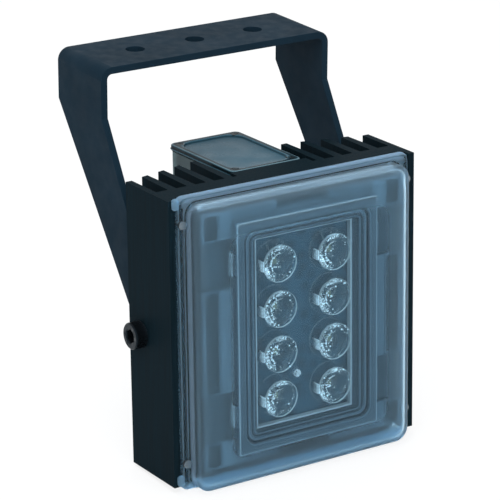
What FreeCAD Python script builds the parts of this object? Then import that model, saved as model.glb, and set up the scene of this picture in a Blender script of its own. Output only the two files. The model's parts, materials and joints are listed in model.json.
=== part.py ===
import FreeCAD, Part
import math
import operator
import os
import Sketcher
from FreeCAD import Vector

# White light illuminator: a finned lamp head behind a clear cover, tilting between the two
# arms of a bent strip bracket. Millimetres. The origin is the middle of the bracket's top
# face, where it is screwed on: X runs across the lamp, Y to its rear and Z up.
#
# The head's pieces share one frame of their own: X from the middle of its width, Y rearward
# from the front edge of its side walls and Z up from its lower end.

SIZES = {
    # bracket: one strip bent to a U, with slanted arms that end round the pivot
    "strip_thick": 3.3,
    "strip_bend": 2.5,
    "plate_depth": 40.1,
    "plate_above": 44.0,
    "plate_setback": 60.75,
    "arm_shoulder": 23.7,
    "arm_end": 9.6,
    "arm_gap": 1.0,
    "arm_clear": 1.3,
    "fixing_hole": 9.0,
    "fixing_pitch": 32.0,
    "head_tilt": 1.9,
    # pivot screws and the washers between arm and wall
    "pivot_shank": 8.0,
    "pivot_running": 0.05,
    "pivot_play": 0.1,
    "pivot_tail": 0.8,
    "pivot_head": 12.6,
    "pivot_head_high": 5.8,
    "pivot_chamfer": 0.6,
    "pivot_socket": 6.0,
    "pivot_socket_deep": 3.4,
    "pivot_washer": 16.0,
    # heat sink: an extrusion with a comb of fins behind and a recess in front
    "head_width": 131.5,
    "head_height": 135.0,
    "pivot_height": 66.0,
    "wall_thick": 3.2,
    "wall_depth": 36.6,
    "front_recess": 3.0,
    "base_thick": 12.6,
    "fin_root": 4.3,
    "fin_tip": 3.1,
    "fin_peak": 46.2,
    "bay_gap": 2.2,
    "bay_pad": 5.8,
    # screws in tapped and clearance holes
    "thread_gap": 0.05,
    "screw_gap": 0.3,
    # clear cover: a flange on a gasket, and a dome whose front is crowned all round
    "cover_fit": 0.3,
    "cover_overhang": 1.75,
    "cover_drop": 0.55,
    "gasket_thick": 1.0,
    "gasket_wide": 2.4,
    "flange_thick": 3.0,
    "flange_corner": 4.0,
    "ledge_side": 4.55,
    "ledge_end": 1.55,
    "dome_drop": 1.45,
    "dome_wall": 2.3,
    "dome_corner": 6.5,
    "crown_wide": 18.0,
    "crown_deep": 6.5,
    "room_crown_wide": 13.0,
    "room_crown_deep": 4.6,
    "cover_screw": 2.2,
    "cover_screw_land": 0.3,
    "cover_screw_high": 1.5,
    "cover_screw_long": 12.0,
    "cover_screw_inset": 12.95,
    # lamp board on its spreader plate
    "spreader_thick": 4.0,
    "thermal_pad": 0.4,
    "board_thick": 1.6,
    "board_corner": 2.0,
    "board_side": 7.5,
    "board_end": 2.75,
    "board_screw": 2.8,
    "board_screw_head": 5.2,
    "board_screw_high": 1.8,
    "board_screw_long": 11.0,
    "board_screw_side": 4.7,
    "board_screw_end": 4.0,
    # lenses in two columns of four, each over an emitter and in a clear holder
    "lens_wide": 17.2,
    "lens_high": 7.2,
    "lens_gap": 0.5,
    "lens_foot": 8.4,
    "lens_rim": 0.8,
    "lens_rim_high": 1.5,
    "lens_cup": 2.4,
    "lens_cup_slope": 2.6,
    "lens_pocket": 4.4,
    "lens_pocket_deep": 1.6,
    "row_gap": 4.3,
    "column_gap": 12.1,
    "emitter_wide": 3.4,
    "emitter_thick": 0.9,
    "emitter_chip": 2.4,
    "emitter_chip_high": 0.4,
    "holder_base": 0.9,
    "holder_wall": 1.1,
    "holder_play": 0.1,
    "holder_claw_wide": 4.6,
    "holder_below_rim": 0.5,
    "sensor_wide": 4.4,
    "sensor_thick": 1.4,
    "sensor_dome": 3.4,
    "sensor_dome_high": 1.6,
    "sensor_left": 2.65,
    "sensor_below": 24.0,
    # tray round the lamp board
    "tray_gap": 0.7,
    "tray_side": 12.0,
    "tray_end": 10.05,
    "tray_wall": 2.5,
    "tray_rim": 4.0,
    "tray_recess": 1.5,
    "tray_corner": 5.0,
    "tray_skin": 1.6,
    "bevel_wide": 2.6,
    "bevel_deep": 2.3,
    "window_side": 2.25,
    "window_end": 3.9,
    "window_wall": 1.6,
    "wing_side_gap": 2.3,
    "wing_end_gap": 3.15,
    "wing_back": 6.9,
    "wing_thick": 2.6,
    "wing_groove": 1.0,
    "wing_groove_wide": 6.6,
    "wing_border": 1.3,
    "notch_long": 22.5,
    "notch_apart": 72.0,
    "tongue_wide": 10.6,
    "tongue_thick": 1.2,
    "end_notch_wide": 27.0,
    "end_notch_deep": 4.2,
    "peg_wide": 4.0,
    "peg_inset": 3.2,
    "peg_deep": 4.0,
    # junction box behind the head, with its lid level with the head's top
    "box_side_gap": 3.35,
    "box_deep": 56.3,
    "box_high": 50.0,
    "box_wall": 2.5,
    "box_corner": 3.0,
    "lid_thick": 2.5,
    "lid_lip": 0.7,
    "lid_start": 0.3,
    "lid_rim": 3.0,
    "lid_recess": 0.9,
    "lid_recess_corner": 8.0,
    "lid_gasket": 0.8,
    "lid_gasket_wide": 1.5,
    "lid_screw": 2.4,
    "lid_screw_head": 4.0,
    "lid_screw_fit": 0.1,
    "lid_screw_high": 1.3,
    "lid_screw_long": 12.0,
    "lid_screw_inset": 4.2,
    "boss_wide": 6.0,
    "box_screw": 3.0,
    "box_screw_head": 5.6,
    "box_screw_high": 2.0,
    "box_screw_long": 9.0,
    "box_screw_apart": 12.0,
    "box_screw_drop": 29.0,
    # driver inside the box
    "post_wide": 4.0,
    "post_high": 7.0,
    "driver_wide": 28.0,
    "driver_long": 21.5,
    "driver_thick": 1.6,
    "driver_start": 9.1,
    "driver_margin": 3.0,
    "coil_inset": 1.5,
    "coil_wide": 10.4,
    "coil_high": 9.0,
    "terminal_wide": 20.0,
    "terminal_long": 8.5,
    "terminal_high": 10.0,
    "terminal_inset": 0.75,
    "terminal_well": 3.4,
    "terminal_well_deep": 2.5,
    # wire hole with its grommet
    "wire_hole": 4.0,
    "grommet_wall": 0.8,
    "grommet_fit": 0.05,
    # cable gland under the box
    "gland_back": 40.6,
    "gland_thread": 16.0,
    "gland_across": 19.0,
    "gland_flange": 4.0,
    "gland_stub": 7.2,
    "gland_tail": 8.0,
    "gland_tail_wide": 13.6,
    "gland_bore": 7.2,
    "locknut_across": 20.0,
    "locknut_thick": 3.5,
    "seal_bore": 6.5,
    "seal_wall": 1.85,
    "seal_long": 6.8,
    "seal_proud": 1.0,
    "gland_cap_gap": 1.0,
    "gland_cap_across": 18.0,
    "gland_cap_end": 2.6,
    "gland_cap_hole": 7.8,
}

FIN_COUNT = 4
BAY_STEPS = 5
LENS_COLUMNS = 2
LENS_ROWS = 4
CLAWS = 3
TERMINAL_WAYS = 3


class Size:
    """A number with the sheet expression that gives it, so a sum of sizes stays bound."""

    def __init__(self, value, text):
        self.value = float(value)
        self.text = text

    def joined(self, other, sign, work, swapped=False):
        other = as_size(other)
        first, second = (other, self) if swapped else (self, other)
        return Size(work(first.value, second.value), f"({first.text} {sign} {second.text})")

    def __add__(self, other):
        return self.joined(other, "+", operator.add)

    def __radd__(self, other):
        return self.joined(other, "+", operator.add, True)

    def __sub__(self, other):
        return self.joined(other, "-", operator.sub)

    def __rsub__(self, other):
        return self.joined(other, "-", operator.sub, True)

    def __mul__(self, other):
        return self.joined(other, "*", operator.mul)

    def __rmul__(self, other):
        return self.joined(other, "*", operator.mul, True)

    def __truediv__(self, other):
        return self.joined(other, "/", operator.truediv)

    def __neg__(self):
        return Size(-self.value, f"(-1 * {self.text})")


def as_size(amount):
    return amount if isinstance(amount, Size) else Size(amount, repr(float(amount)))


class Named:
    """The driving dimensions by name, each as a Size that refers to its cell."""

    def __getattr__(self, name):
        return Size(SIZES[name], "Sizes." + name)


s = Named()
doc = FreeCAD.newDocument("white_light_illuminator")
sheet = doc.addObject("Spreadsheet::Sheet", "Sizes")
for row, (name, value) in enumerate(SIZES.items(), 1):
    sheet.set(f"A{row}", name)
    sheet.set(f"B{row}", str(value))
    sheet.setAlias(f"B{row}", name)
doc.recompute()


# Places that several pieces share, in the head's frame unless they say otherwise

HEAD_HALF = s.head_width / 2
WALL_INNER = HEAD_HALF - s.wall_thick
ARM_OUTER = WALL_INNER - s.arm_gap
ARM_INNER = ARM_OUTER - s.strip_thick
BASE_BACK = s.front_recess + s.base_thick
PIVOT_BACK = BASE_BACK + s.arm_clear + s.arm_end
PIVOT_DROP = s.head_height - s.pivot_height + s.plate_above
FIN_PITCH = (s.head_width - s.wall_thick) / (2 * FIN_COUNT + BAY_STEPS)
BAY_HALF = HEAD_HALF - s.wall_thick / 2 - FIN_COUNT * FIN_PITCH - s.fin_root / 2
PAD_HALF = BAY_HALF - s.bay_gap
PAD_BACK = BASE_BACK + s.bay_pad
MIDDLE = s.head_height / 2

BOARD_BACK = s.front_recess - s.spreader_thick - s.thermal_pad
BOARD_FRONT = BOARD_BACK - s.board_thick
LENS_FRONT = BOARD_FRONT - s.lens_high
DOME_INSIDE = LENS_FRONT - s.lens_gap
DOME_FRONT = DOME_INSIDE - s.dome_wall
FLANGE_BACK = s.front_recess - s.gasket_thick
FLANGE_FRONT = FLANGE_BACK - s.flange_thick
FLANGE_SIDE = WALL_INNER - s.cover_fit
FLANGE_END = MIDDLE + s.cover_overhang
COVER_MIDDLE = MIDDLE - s.cover_drop
DOME_SIDE = FLANGE_SIDE - s.ledge_side
DOME_END = FLANGE_END - s.ledge_end
DOME_MIDDLE = COVER_MIDDLE - s.dome_drop
ROOM_SIDE = DOME_SIDE - s.dome_wall
ROOM_END = DOME_END - s.dome_drop - s.dome_wall
COVER_SCREW_SIDE = FLANGE_SIDE - s.ledge_side / 2
COVER_SCREW_END = FLANGE_END - s.cover_screw_inset

ROW_PITCH = s.lens_wide + s.row_gap
COLUMN_PITCH = s.lens_wide + s.column_gap
WINDOW_SIDE = COLUMN_PITCH / 2 + s.lens_wide / 2 + s.window_side
WINDOW_END = ROW_PITCH * (LENS_ROWS - 1) / 2 + s.lens_wide / 2 + s.window_end
TRAY_FRONT = DOME_INSIDE + s.tray_gap
TRAY_SIDE = WINDOW_SIDE + s.tray_side
TRAY_END = WINDOW_END + s.tray_end
WING_SIDE = ROOM_SIDE - s.wing_side_gap
WING_END = ROOM_END - s.cover_drop - s.wing_end_gap
WING_BACK = s.front_recess - s.wing_back
WING_FRONT = WING_BACK - s.wing_thick
PEG_SIDE = WING_SIDE - s.peg_inset
PEG_END = WING_END - s.peg_inset
BOARD_SIDE = WINDOW_SIDE + s.board_side
BOARD_END = WINDOW_END + s.board_end
BOARD_SCREW_SIDE = WINDOW_SIDE + s.board_screw_side
BOARD_SCREW_END = WINDOW_END - s.board_screw_end
WIRE_UP = (BOARD_END + TRAY_END - s.tray_wall) / 2

BOX_HALF = BAY_HALF - s.box_side_gap
BOX_FLOOR = s.head_height - s.box_high
BOX_TOP = s.head_height - s.lid_thick - s.lid_gasket
BOX_BODY_HALF = BOX_HALF - s.lid_lip
LID_FRONT = PAD_BACK + s.lid_start
LID_BACK = PAD_BACK + s.box_deep
BOX_BODY_BACK = LID_BACK - s.lid_lip
BOX_INNER_FRONT = PAD_BACK + s.box_wall
LID_SCREW_SIDE = BOX_HALF - s.lid_screw_inset
LID_SCREW_FRONT = LID_FRONT + s.lid_screw_inset
LID_SCREW_BACK = LID_BACK - s.lid_screw_inset
DRIVER_FRONT = PAD_BACK + s.driver_start
DRIVER_BACK = DRIVER_FRONT + s.driver_long
DRIVER_LOW = BOX_FLOOR + s.box_wall + s.post_high
DRIVER_HIGH = DRIVER_LOW + s.driver_thick
BOX_SCREW_UP = s.head_height - s.box_screw_drop
GLAND_Y = PAD_BACK + s.gland_back


def moved(x, y, z):
    """The expression of a plain shift, to be chained after a frame's own."""
    parts = "; ".join(as_size(amount).text for amount in (x, y, z))
    return f"placement(vector({parts}); rotation(vector(1; 0; 0); 0))"


PIVOT_FRAME = moved(0, -s.plate_setback, -PIVOT_DROP)
TURNED = "placement(vector(0; 0; 0); rotation(vector(1; 0; 0); -Sizes.head_tilt))"
HEAD_FRAME = f"{PIVOT_FRAME} * {TURNED} * {moved(0, -PIVOT_BACK, -s.pivot_height)}"


# Sketches: every point, centre and radius is bound to the sheet

def new_body(label, frame=None):
    body = doc.addObject("PartDesign::Body", label)
    body.Label = label
    if frame:
        body.setExpression("Placement", frame)
    return body


def origin_piece(body, role):
    return next(item for item in body.Origin.OriginFeatures if item.Role == role)


def sketch(body, plane, offset=0.0):
    """XY looks down from +Z, XZ from the front (-Y) and YZ from +X; offset is along that."""
    made = body.newObject("Sketcher::SketchObject", "Sketch")
    made.AttachmentSupport = (origin_piece(body, plane + "_Plane"), [""])
    made.MapMode = "FlatFace"
    made.setExpression(".AttachmentOffset.Base.z", as_size(offset).text)
    return made


def bind(made, kind, shape, end, amount):
    amount = as_size(amount)
    terms = (kind, shape, end, amount.value) if end else (kind, shape, amount.value)
    number = made.addConstraint(Sketcher.Constraint(*terms))
    made.setExpression(f"Constraints[{number}]", amount.text)


def bind_point(made, shape, end, x, y):
    bind(made, "DistanceX", shape, end, x)
    bind(made, "DistanceY", shape, end, y)


def flat(x, y):
    return Vector(as_size(x).value, as_size(y).value, 0)


def polygon(made, points):
    first = made.GeometryCount
    count = len(points)
    for number in range(count):
        start, end = points[number], points[(number + 1) % count]
        made.addGeometry(Part.LineSegment(flat(*start), flat(*end)), False)
    for number, point in enumerate(points):
        before = first + (number - 1) % count
        made.addConstraint(Sketcher.Constraint("Coincident", before, 2, first + number, 1))
        bind_point(made, first + number, 1, *point)


def rectangle(made, x1, y1, x2, y2):
    polygon(made, [(x1, y1), (x2, y1), (x2, y2), (x1, y2)])


def centred(made, half_x, half_y, y=0.0):
    rectangle(made, -half_x, y - half_y, half_x, y + half_y)


def circle(made, x, y, radius):
    radius = as_size(radius)
    number = made.addGeometry(Part.Circle(flat(x, y), Vector(0, 0, 1), radius.value), False)
    bind_point(made, number, 3, x, y)
    bind(made, "Radius", number, None, radius)


def rounded(made, x1, y1, x2, y2, radius):
    """A rectangle whose corners are arcs that run into its sides."""
    first = made.GeometryCount
    centres = [(x1 + radius, y1 + radius), (x2 - radius, y1 + radius),
               (x2 - radius, y2 - radius), (x1 + radius, y2 - radius)]
    arcs = []
    for number, centre in enumerate(centres):
        start = math.pi * (1 + number / 2)
        whole = Part.Circle(flat(*centre), Vector(0, 0, 1), radius.value)
        arcs.append(Part.ArcOfCircle(whole, start, start + math.pi / 2))
        made.addGeometry(arcs[-1], False)
    for number in range(4):
        ends = arcs[number].EndPoint, arcs[(number + 1) % 4].StartPoint
        made.addGeometry(Part.LineSegment(*ends), False)
    for number, centre in enumerate(centres):
        arc, line, after = first + number, first + 4 + number, first + (number + 1) % 4
        made.addConstraint(Sketcher.Constraint("Tangent", arc, 2, line, 1))
        made.addConstraint(Sketcher.Constraint("Tangent", line, 2, after, 1))
        bind_point(made, arc, 3, *centre)
        bind(made, "Radius", arc, None, radius)


def rounded_centred(made, half_x, half_y, y, radius):
    rounded(made, -half_x, y - half_y, half_x, y + half_y, radius)


def hexagon(made, x, y, across):
    """A regular hexagon of the given width across its flats."""
    reach = across / math.sqrt(3)
    angles = [math.pi * number / 3 for number in range(6)]
    polygon(made, [(x + reach * math.cos(turn), y + reach * math.sin(turn)) for turn in angles])


# Features: each is set up, worked out and made the body's last one

def feature(body, kind, name, **values):
    made = body.newObject("PartDesign::" + kind, name)
    for key, value in values.items():
        setattr(made, key, value)
    return made


def finish(body, made):
    body.Tip = made
    doc.recompute()
    return made


def pad(body, profile, length, backward=False):
    made = feature(body, "Pad", "Pad", Profile=profile, Reversed=backward)
    made.setExpression("Length", as_size(length).text)
    return finish(body, made)


def cut(body, profile, depth, forward=False):
    """Cuts from the sketch against its own direction, or forward along it."""
    before = body.Shape.Volume
    made = feature(body, "Pocket", "Cut", Profile=profile, Reversed=forward)
    made.setExpression("Length", as_size(depth).text)
    finish(body, made)
    check_removed(body, before)
    return made


def cut_through(body, profile):
    before = body.Shape.Volume
    made = feature(body, "Pocket", "CutThrough", Profile=profile, Type="ThroughAll", Midplane=True)
    finish(body, made)
    check_removed(body, before)
    return made


def check_removed(body, before):
    if not body.Shape.Volume < before:
        raise RuntimeError(f"a cut in {body.Label} removed nothing")


def loft(body, outlines, hollow=False):
    """Flat runs through closed outlines, added or taken out."""
    before = body.Shape.Volume
    made = feature(body, "SubtractiveLoft" if hollow else "AdditiveLoft", "Crown",
                   Profile=outlines[0], Sections=outlines[1:], Ruled=True)
    finish(body, made)
    if hollow:
        check_removed(body, before)
    return made


def revolve(body, profile, axis="V_Axis", kind="Revolution"):
    made = feature(body, kind, "Turned", Profile=profile, ReferenceAxis=(profile, [axis]), Angle=360)
    return finish(body, made)


def turned_beside(body, plane, offset, middle, outline):
    """A turned piece about a line beside the origin: outline gives radius and height."""
    profile = sketch(body, plane, offset)
    polygon(profile, [(middle + radius, height) for radius, height in outline])
    line = Part.LineSegment(flat(middle, 0), flat(middle, 1))
    number = profile.addGeometry(line, True)
    bind_point(profile, number, 1, middle, 0)
    bind_point(profile, number, 2, middle, 1)
    return revolve(body, profile, "Axis0")


def turned(label, frame, outline, plane="XY"):
    body = new_body(label, frame)
    profile = sketch(body, plane)
    polygon(profile, outline)
    revolve(body, profile)
    return body


def fillet(body, radius, wanted):
    """Rounds the edges of the last feature for which wanted(edge) is true."""
    base = body.Tip
    names = [f"Edge{number}" for number, edge in enumerate(base.Shape.Edges, 1) if wanted(edge)]
    made = feature(body, "Fillet", "Fillet", Base=(base, names))
    made.setExpression("Radius", as_size(radius).text)
    return finish(body, made)


def near(first, second):
    return abs(first - as_size(second).value) < 1e-4


def lies_at(edge, **wanted):
    """Whether all of an edge lies at the given x, y or z."""
    box = edge.BoundBox
    ends = {"x": (box.XMin, box.XMax), "y": (box.YMin, box.YMax), "z": (box.ZMin, box.ZMax)}
    return all(near(end, place) for key, place in wanted.items() for end in ends[key])


# Bracket and pivots

def tangent_touch(point, centre, radius, side):
    """Where the line from point touches the circle, for the sketch's first guess."""
    away_x, away_y = point[0] - centre[0], point[1] - centre[1]
    span = math.hypot(away_x, away_y)
    turn = math.atan2(away_y, away_x) + side * math.acos(radius / span)
    return turn, (centre[0] + radius * math.cos(turn), centre[1] + radius * math.sin(turn))


def arm_outline(made):
    """Side view of the strip: the plate's depth above, slanting in to the round arm end."""
    half, above = s.plate_depth / 2, s.strip_thick
    corners = [(half, above), (-half, above), (-half, -s.arm_shoulder), (half, -s.arm_shoulder)]
    numbers = [(as_size(x).value, as_size(y).value) for x, y in corners]
    pivot = (-s.plate_setback, -PIVOT_DROP)
    middle = (pivot[0].value, pivot[1].value)
    front_turn, front = tangent_touch(numbers[2], middle, s.arm_end.value, 1)
    back_turn, back = tangent_touch(numbers[3], middle, s.arm_end.value, -1)
    stops = [numbers[0], numbers[1], numbers[2], front, back, numbers[3], numbers[0]]
    first = made.GeometryCount
    for start, end in ((0, 1), (1, 2), (2, 3), (4, 5), (5, 6)):
        made.addGeometry(Part.LineSegment(Vector(*stops[start], 0), Vector(*stops[end], 0)), False)
    whole = Part.Circle(Vector(*middle, 0), Vector(0, 0, 1), s.arm_end.value)
    made.addGeometry(Part.ArcOfCircle(whole, front_turn, back_turn + 2 * math.pi), False)
    top, fore, slant, rear, back_side, arc = range(first, first + 6)
    for before, after in ((top, fore), (fore, slant), (rear, back_side), (back_side, top)):
        made.addConstraint(Sketcher.Constraint("Coincident", before, 2, after, 1))
    made.addConstraint(Sketcher.Constraint("Tangent", slant, 2, arc, 1))
    made.addConstraint(Sketcher.Constraint("Tangent", arc, 2, rear, 1))
    for line, corner in ((top, 0), (fore, 1), (slant, 2), (back_side, 3)):
        bind_point(made, line, 1, *corners[corner])
    bind_point(made, arc, 3, *pivot)
    bind(made, "Radius", arc, None, s.arm_end)


def mounting_bracket():
    body = new_body("mounting_bracket")
    foot = -PIVOT_DROP - s.arm_end
    strip = sketch(body, "XZ", -s.plate_depth / 2)
    polygon(strip, [(-ARM_OUTER, foot), (-ARM_OUTER, 0), (ARM_OUTER, 0), (ARM_OUTER, foot),
                    (ARM_INNER, foot), (ARM_INNER, -s.strip_thick),
                    (-ARM_INNER, -s.strip_thick), (-ARM_INNER, foot)])
    pad(body, strip, s.plate_depth / 2 + s.plate_setback + s.arm_end)
    for radius, side, level in ((s.strip_bend + s.strip_thick, ARM_OUTER, 0),
                                (s.strip_bend, ARM_INNER, -s.strip_thick)):
        fillet(body, radius, lambda edge: lies_at(edge, z=level) and
               (lies_at(edge, x=side) or lies_at(edge, x=-side)))
    waste = sketch(body, "YZ")
    reach = 2 * s.arm_end
    rectangle(waste, -s.plate_setback - reach, -PIVOT_DROP - reach, s.plate_depth, s.arm_end)
    arm_outline(waste)
    cut_through(body, waste)
    holes = sketch(body, "XY")
    for step in (-1, 0, 1):
        circle(holes, step * s.fixing_pitch, 0, s.fixing_hole / 2)
    cut_through(body, holes)
    bores = sketch(body, "YZ")
    circle(bores, -s.plate_setback, -PIVOT_DROP, s.pivot_shank / 2 + s.thread_gap)
    cut_through(body, bores)
    return body


def pivot_screw(side_name, side):
    """Socket head outside the wall; the shank turns in the wall and is threaded in the arm."""
    body = new_body(f"pivot_screw_{side_name}", PIVOT_FRAME)
    seat = HEAD_HALF + s.pivot_play
    face = seat + s.pivot_head_high
    edge = s.pivot_chamfer
    outline = [(ARM_INNER - s.pivot_tail, 0), (ARM_INNER - s.pivot_tail, s.pivot_shank / 2),
               (seat, s.pivot_shank / 2), (seat, s.pivot_head / 2),
               (face - edge, s.pivot_head / 2), (face, s.pivot_head / 2 - edge), (face, 0)]
    profile = sketch(body, "XY")
    polygon(profile, [(side * along, radius) for along, radius in outline])
    revolve(body, profile, "H_Axis")
    socket = sketch(body, "YZ", side * face)
    hexagon(socket, 0, 0, s.pivot_socket)
    cut(body, socket, s.pivot_socket_deep, side < 0)
    return body


def pivot_washer(side_name, side):
    body = new_body(f"pivot_washer_{side_name}", PIVOT_FRAME)
    ring = sketch(body, "YZ", side * ARM_OUTER)
    circle(ring, 0, 0, s.pivot_washer / 2)
    circle(ring, 0, 0, s.pivot_shank / 2 + s.screw_gap)
    pad(body, ring, s.arm_gap - s.pivot_play, side < 0)
    return body


# Heat sink

def extrusion_frame(body):
    """Side walls, base and the raised pad of the rear bay, drawn across the extrusion."""
    right = [(HEAD_HALF, 0), (HEAD_HALF, s.wall_depth), (WALL_INNER, s.wall_depth),
             (WALL_INNER, BASE_BACK), (PAD_HALF, BASE_BACK), (PAD_HALF, PAD_BACK)]
    left = [(-x, y) for x, y in reversed(right)]
    front = [(-WALL_INNER, 0), (-WALL_INNER, s.front_recess),
             (WALL_INNER, s.front_recess), (WALL_INNER, 0)]
    profile = sketch(body, "XY")
    polygon(profile, right + left + front)
    pad(body, profile, s.head_height)


def fin_rows(body):
    """Tapered fins stepped inward from both walls, then cut back along two slants."""
    for side in (-1, 1):
        middle = side * (HEAD_HALF - s.wall_thick / 2 - FIN_PITCH)
        root, tip = s.fin_root / 2, s.fin_tip / 2
        profile = sketch(body, "XY")
        polygon(profile, [(middle - root, BASE_BACK), (middle + root, BASE_BACK),
                          (middle + tip, s.fin_peak), (middle - tip, s.fin_peak)])
        fin = pad(body, profile, s.head_height)
        row_made = feature(body, "LinearPattern", "Fins", Originals=[fin], Occurrences=FIN_COUNT,
                           Direction=(origin_piece(body, "X_Axis"), [""]), Reversed=side > 0)
        row_made.setExpression("Length", (FIN_PITCH * (FIN_COUNT - 1)).text)
        finish(body, row_made)
    crest = BAY_HALF + s.fin_root
    past = s.fin_peak + s.fin_root
    ends = sketch(body, "XY")
    polygon(ends, [(-HEAD_HALF, s.wall_depth), (-crest, s.fin_peak), (crest, s.fin_peak),
                   (HEAD_HALF, s.wall_depth), (HEAD_HALF, past), (-HEAD_HALF, past)])
    cut_through(body, ends)


def four_spots(side, end):
    return [(x, MIDDLE + z) for x in (-side, side) for z in (-end, end)]


def front_holes(body, spots, radius, depth):
    holes = sketch(body, "XZ", -s.front_recess)
    for x, z in spots:
        circle(holes, x, z, radius)
    cut(body, holes, depth)


def heat_sink():
    body = new_body("heat_sink", HEAD_FRAME)
    extrusion_frame(body)
    fin_rows(body)
    front_holes(body, four_spots(COVER_SCREW_SIDE, COVER_SCREW_END),
                s.cover_screw / 2 + s.thread_gap, s.cover_screw_long - FLANGE_BACK - s.gasket_thick)
    front_holes(body, four_spots(BOARD_SCREW_SIDE, BOARD_SCREW_END),
                s.board_screw / 2 + s.thread_gap, s.board_screw_long - s.spreader_thick)
    front_holes(body, four_spots(PEG_SIDE, PEG_END),
                s.peg_wide / 2 + s.thread_gap, s.peg_deep + s.screw_gap)
    front_holes(body, [(as_size(0), MIDDLE + WIRE_UP)], s.wire_hole / 2, s.base_thick + s.bay_pad)
    box_holes = sketch(body, "XZ", -PAD_BACK)
    for x in (-s.box_screw_apart / 2, s.box_screw_apart / 2):
        circle(box_holes, x, BOX_SCREW_UP, s.box_screw / 2 + s.thread_gap)
    cut(body, box_holes, s.box_screw_long - s.box_wall, True)
    for side in (-1, 1):
        bore = sketch(body, "YZ", side * HEAD_HALF)
        circle(bore, PIVOT_BACK, s.pivot_height, s.pivot_shank / 2 + s.pivot_running)
        cut(body, bore, s.wall_thick, side < 0)
    return body


# Lamp board with its emitters, lenses and sensor

def plate_piece(label, half_x, half_z, back, thick, hole, corner=None):
    """A flat piece under the lamp board, with clearance holes for the board's screws."""
    body = new_body(label, HEAD_FRAME)
    outline = sketch(body, "XZ", -back)
    if corner:
        rounded_centred(outline, half_x, half_z, MIDDLE, corner)
    else:
        centred(outline, half_x, half_z, MIDDLE)
    for x, z in four_spots(BOARD_SCREW_SIDE, BOARD_SCREW_END):
        circle(outline, x, z, hole)
    pad(body, outline, thick)
    return body


def lamp_plates():
    hole = s.board_screw / 2 + s.screw_gap
    spreader = plate_piece("spreader_plate", BOARD_SIDE, BOARD_END, s.front_recess,
                           s.spreader_thick, hole)
    layer = plate_piece("thermal_pad", BOARD_SIDE, BOARD_END,
                        s.front_recess - s.spreader_thick, s.thermal_pad, hole)
    board = plate_piece("led_board", BOARD_SIDE, BOARD_END, BOARD_BACK, s.board_thick,
                        hole, s.board_corner)
    return [spreader, layer, board]


def front_screws(label, spots, face, shank, head, high, long):
    """Flat-headed screws driven rearward from a face of the head, as separate solids."""
    body = new_body(label, HEAD_FRAME)
    outline = [(0, face + long), (shank / 2, face + long), (shank / 2, face), (head / 2, face),
               (head / 2, face - high), (0, face - high)]
    for x, z in spots:
        turned_beside(body, "XY", z, x, outline)
    return body


def emitter(number, frame):
    body = new_body(f"led_emitter_{number}", frame)
    base = sketch(body, "XZ")
    centred(base, s.emitter_wide / 2, s.emitter_wide / 2)
    pad(body, base, s.emitter_thick)
    chip = sketch(body, "XZ", s.emitter_thick)
    centred(chip, s.emitter_chip / 2, s.emitter_chip / 2)
    pad(body, chip, s.emitter_chip_high)
    return body


def lens(number, frame):
    """A cup lens: a cone from a narrow foot to a thin rim, hollowed in front and below."""
    radius, foot = s.lens_wide / 2, s.lens_foot / 2
    low, front = -s.holder_base, -s.lens_high
    shoulder = front + s.lens_rim_high
    outline = [(0, low - s.lens_pocket_deep), (s.lens_pocket / 2, low - s.lens_pocket_deep),
               (s.lens_pocket / 2, low), (foot, low), (radius - s.lens_rim, shoulder),
               (radius, shoulder), (radius, front), (radius - s.lens_rim, front),
               (radius - s.lens_rim - s.lens_cup_slope, front + s.lens_cup),
               (0, front + s.lens_cup)]
    return turned(f"lens_{number}", frame, outline)


def lens_holder(number, frame):
    """A clear ring on the board with upright claws round the lens."""
    inner = s.lens_wide / 2 + s.holder_play
    outer = inner + s.holder_wall
    hole = s.emitter_wide / math.sqrt(2) + s.screw_gap
    body = new_body(f"lens_holder_{number}", frame)
    ring = sketch(body, "XZ")
    circle(ring, 0, 0, outer)
    circle(ring, 0, 0, hole)
    pad(body, ring, s.holder_base)
    claw = sketch(body, "XZ")
    half = s.holder_claw_wide / 2
    rectangle(claw, -outer, -half, -inner, half)
    post = pad(body, claw, s.lens_high - s.holder_below_rim)
    claws = feature(body, "PolarPattern", "Claws", Originals=[post], Angle=360, Occurrences=CLAWS,
                    Axis=(origin_piece(body, "Y_Axis"), [""]))
    finish(body, claws)
    return body


def lamps():
    made = []
    for column in range(LENS_COLUMNS):
        for row_number in range(LENS_ROWS):
            number = column * LENS_ROWS + row_number + 1
            x = COLUMN_PITCH * (column - (LENS_COLUMNS - 1) / 2)
            z = MIDDLE + ROW_PITCH * ((LENS_ROWS - 1) / 2 - row_number)
            frame = f"{HEAD_FRAME} * {moved(x, BOARD_FRONT, z)}"
            made += [emitter(number, frame), lens(number, frame), lens_holder(number, frame)]
    return made


def light_sensor():
    body = new_body("light_sensor", f"{HEAD_FRAME} * "
                    f"{moved(-s.sensor_left, BOARD_FRONT, MIDDLE - s.sensor_below)}")
    base = sketch(body, "XZ")
    centred(base, s.sensor_wide / 2, s.sensor_wide / 2)
    pad(body, base, s.sensor_thick)
    dome = sketch(body, "XZ", s.sensor_thick)
    circle(dome, 0, 0, s.sensor_dome / 2)
    pad(body, dome, s.sensor_dome_high)
    return body


# Tray round the lamps

def notch_ends(level):
    """The lower and upper end of one pair of side notches."""
    middle = MIDDLE + level * s.notch_apart / 2
    return middle - s.notch_long / 2, middle + s.notch_long / 2


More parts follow.
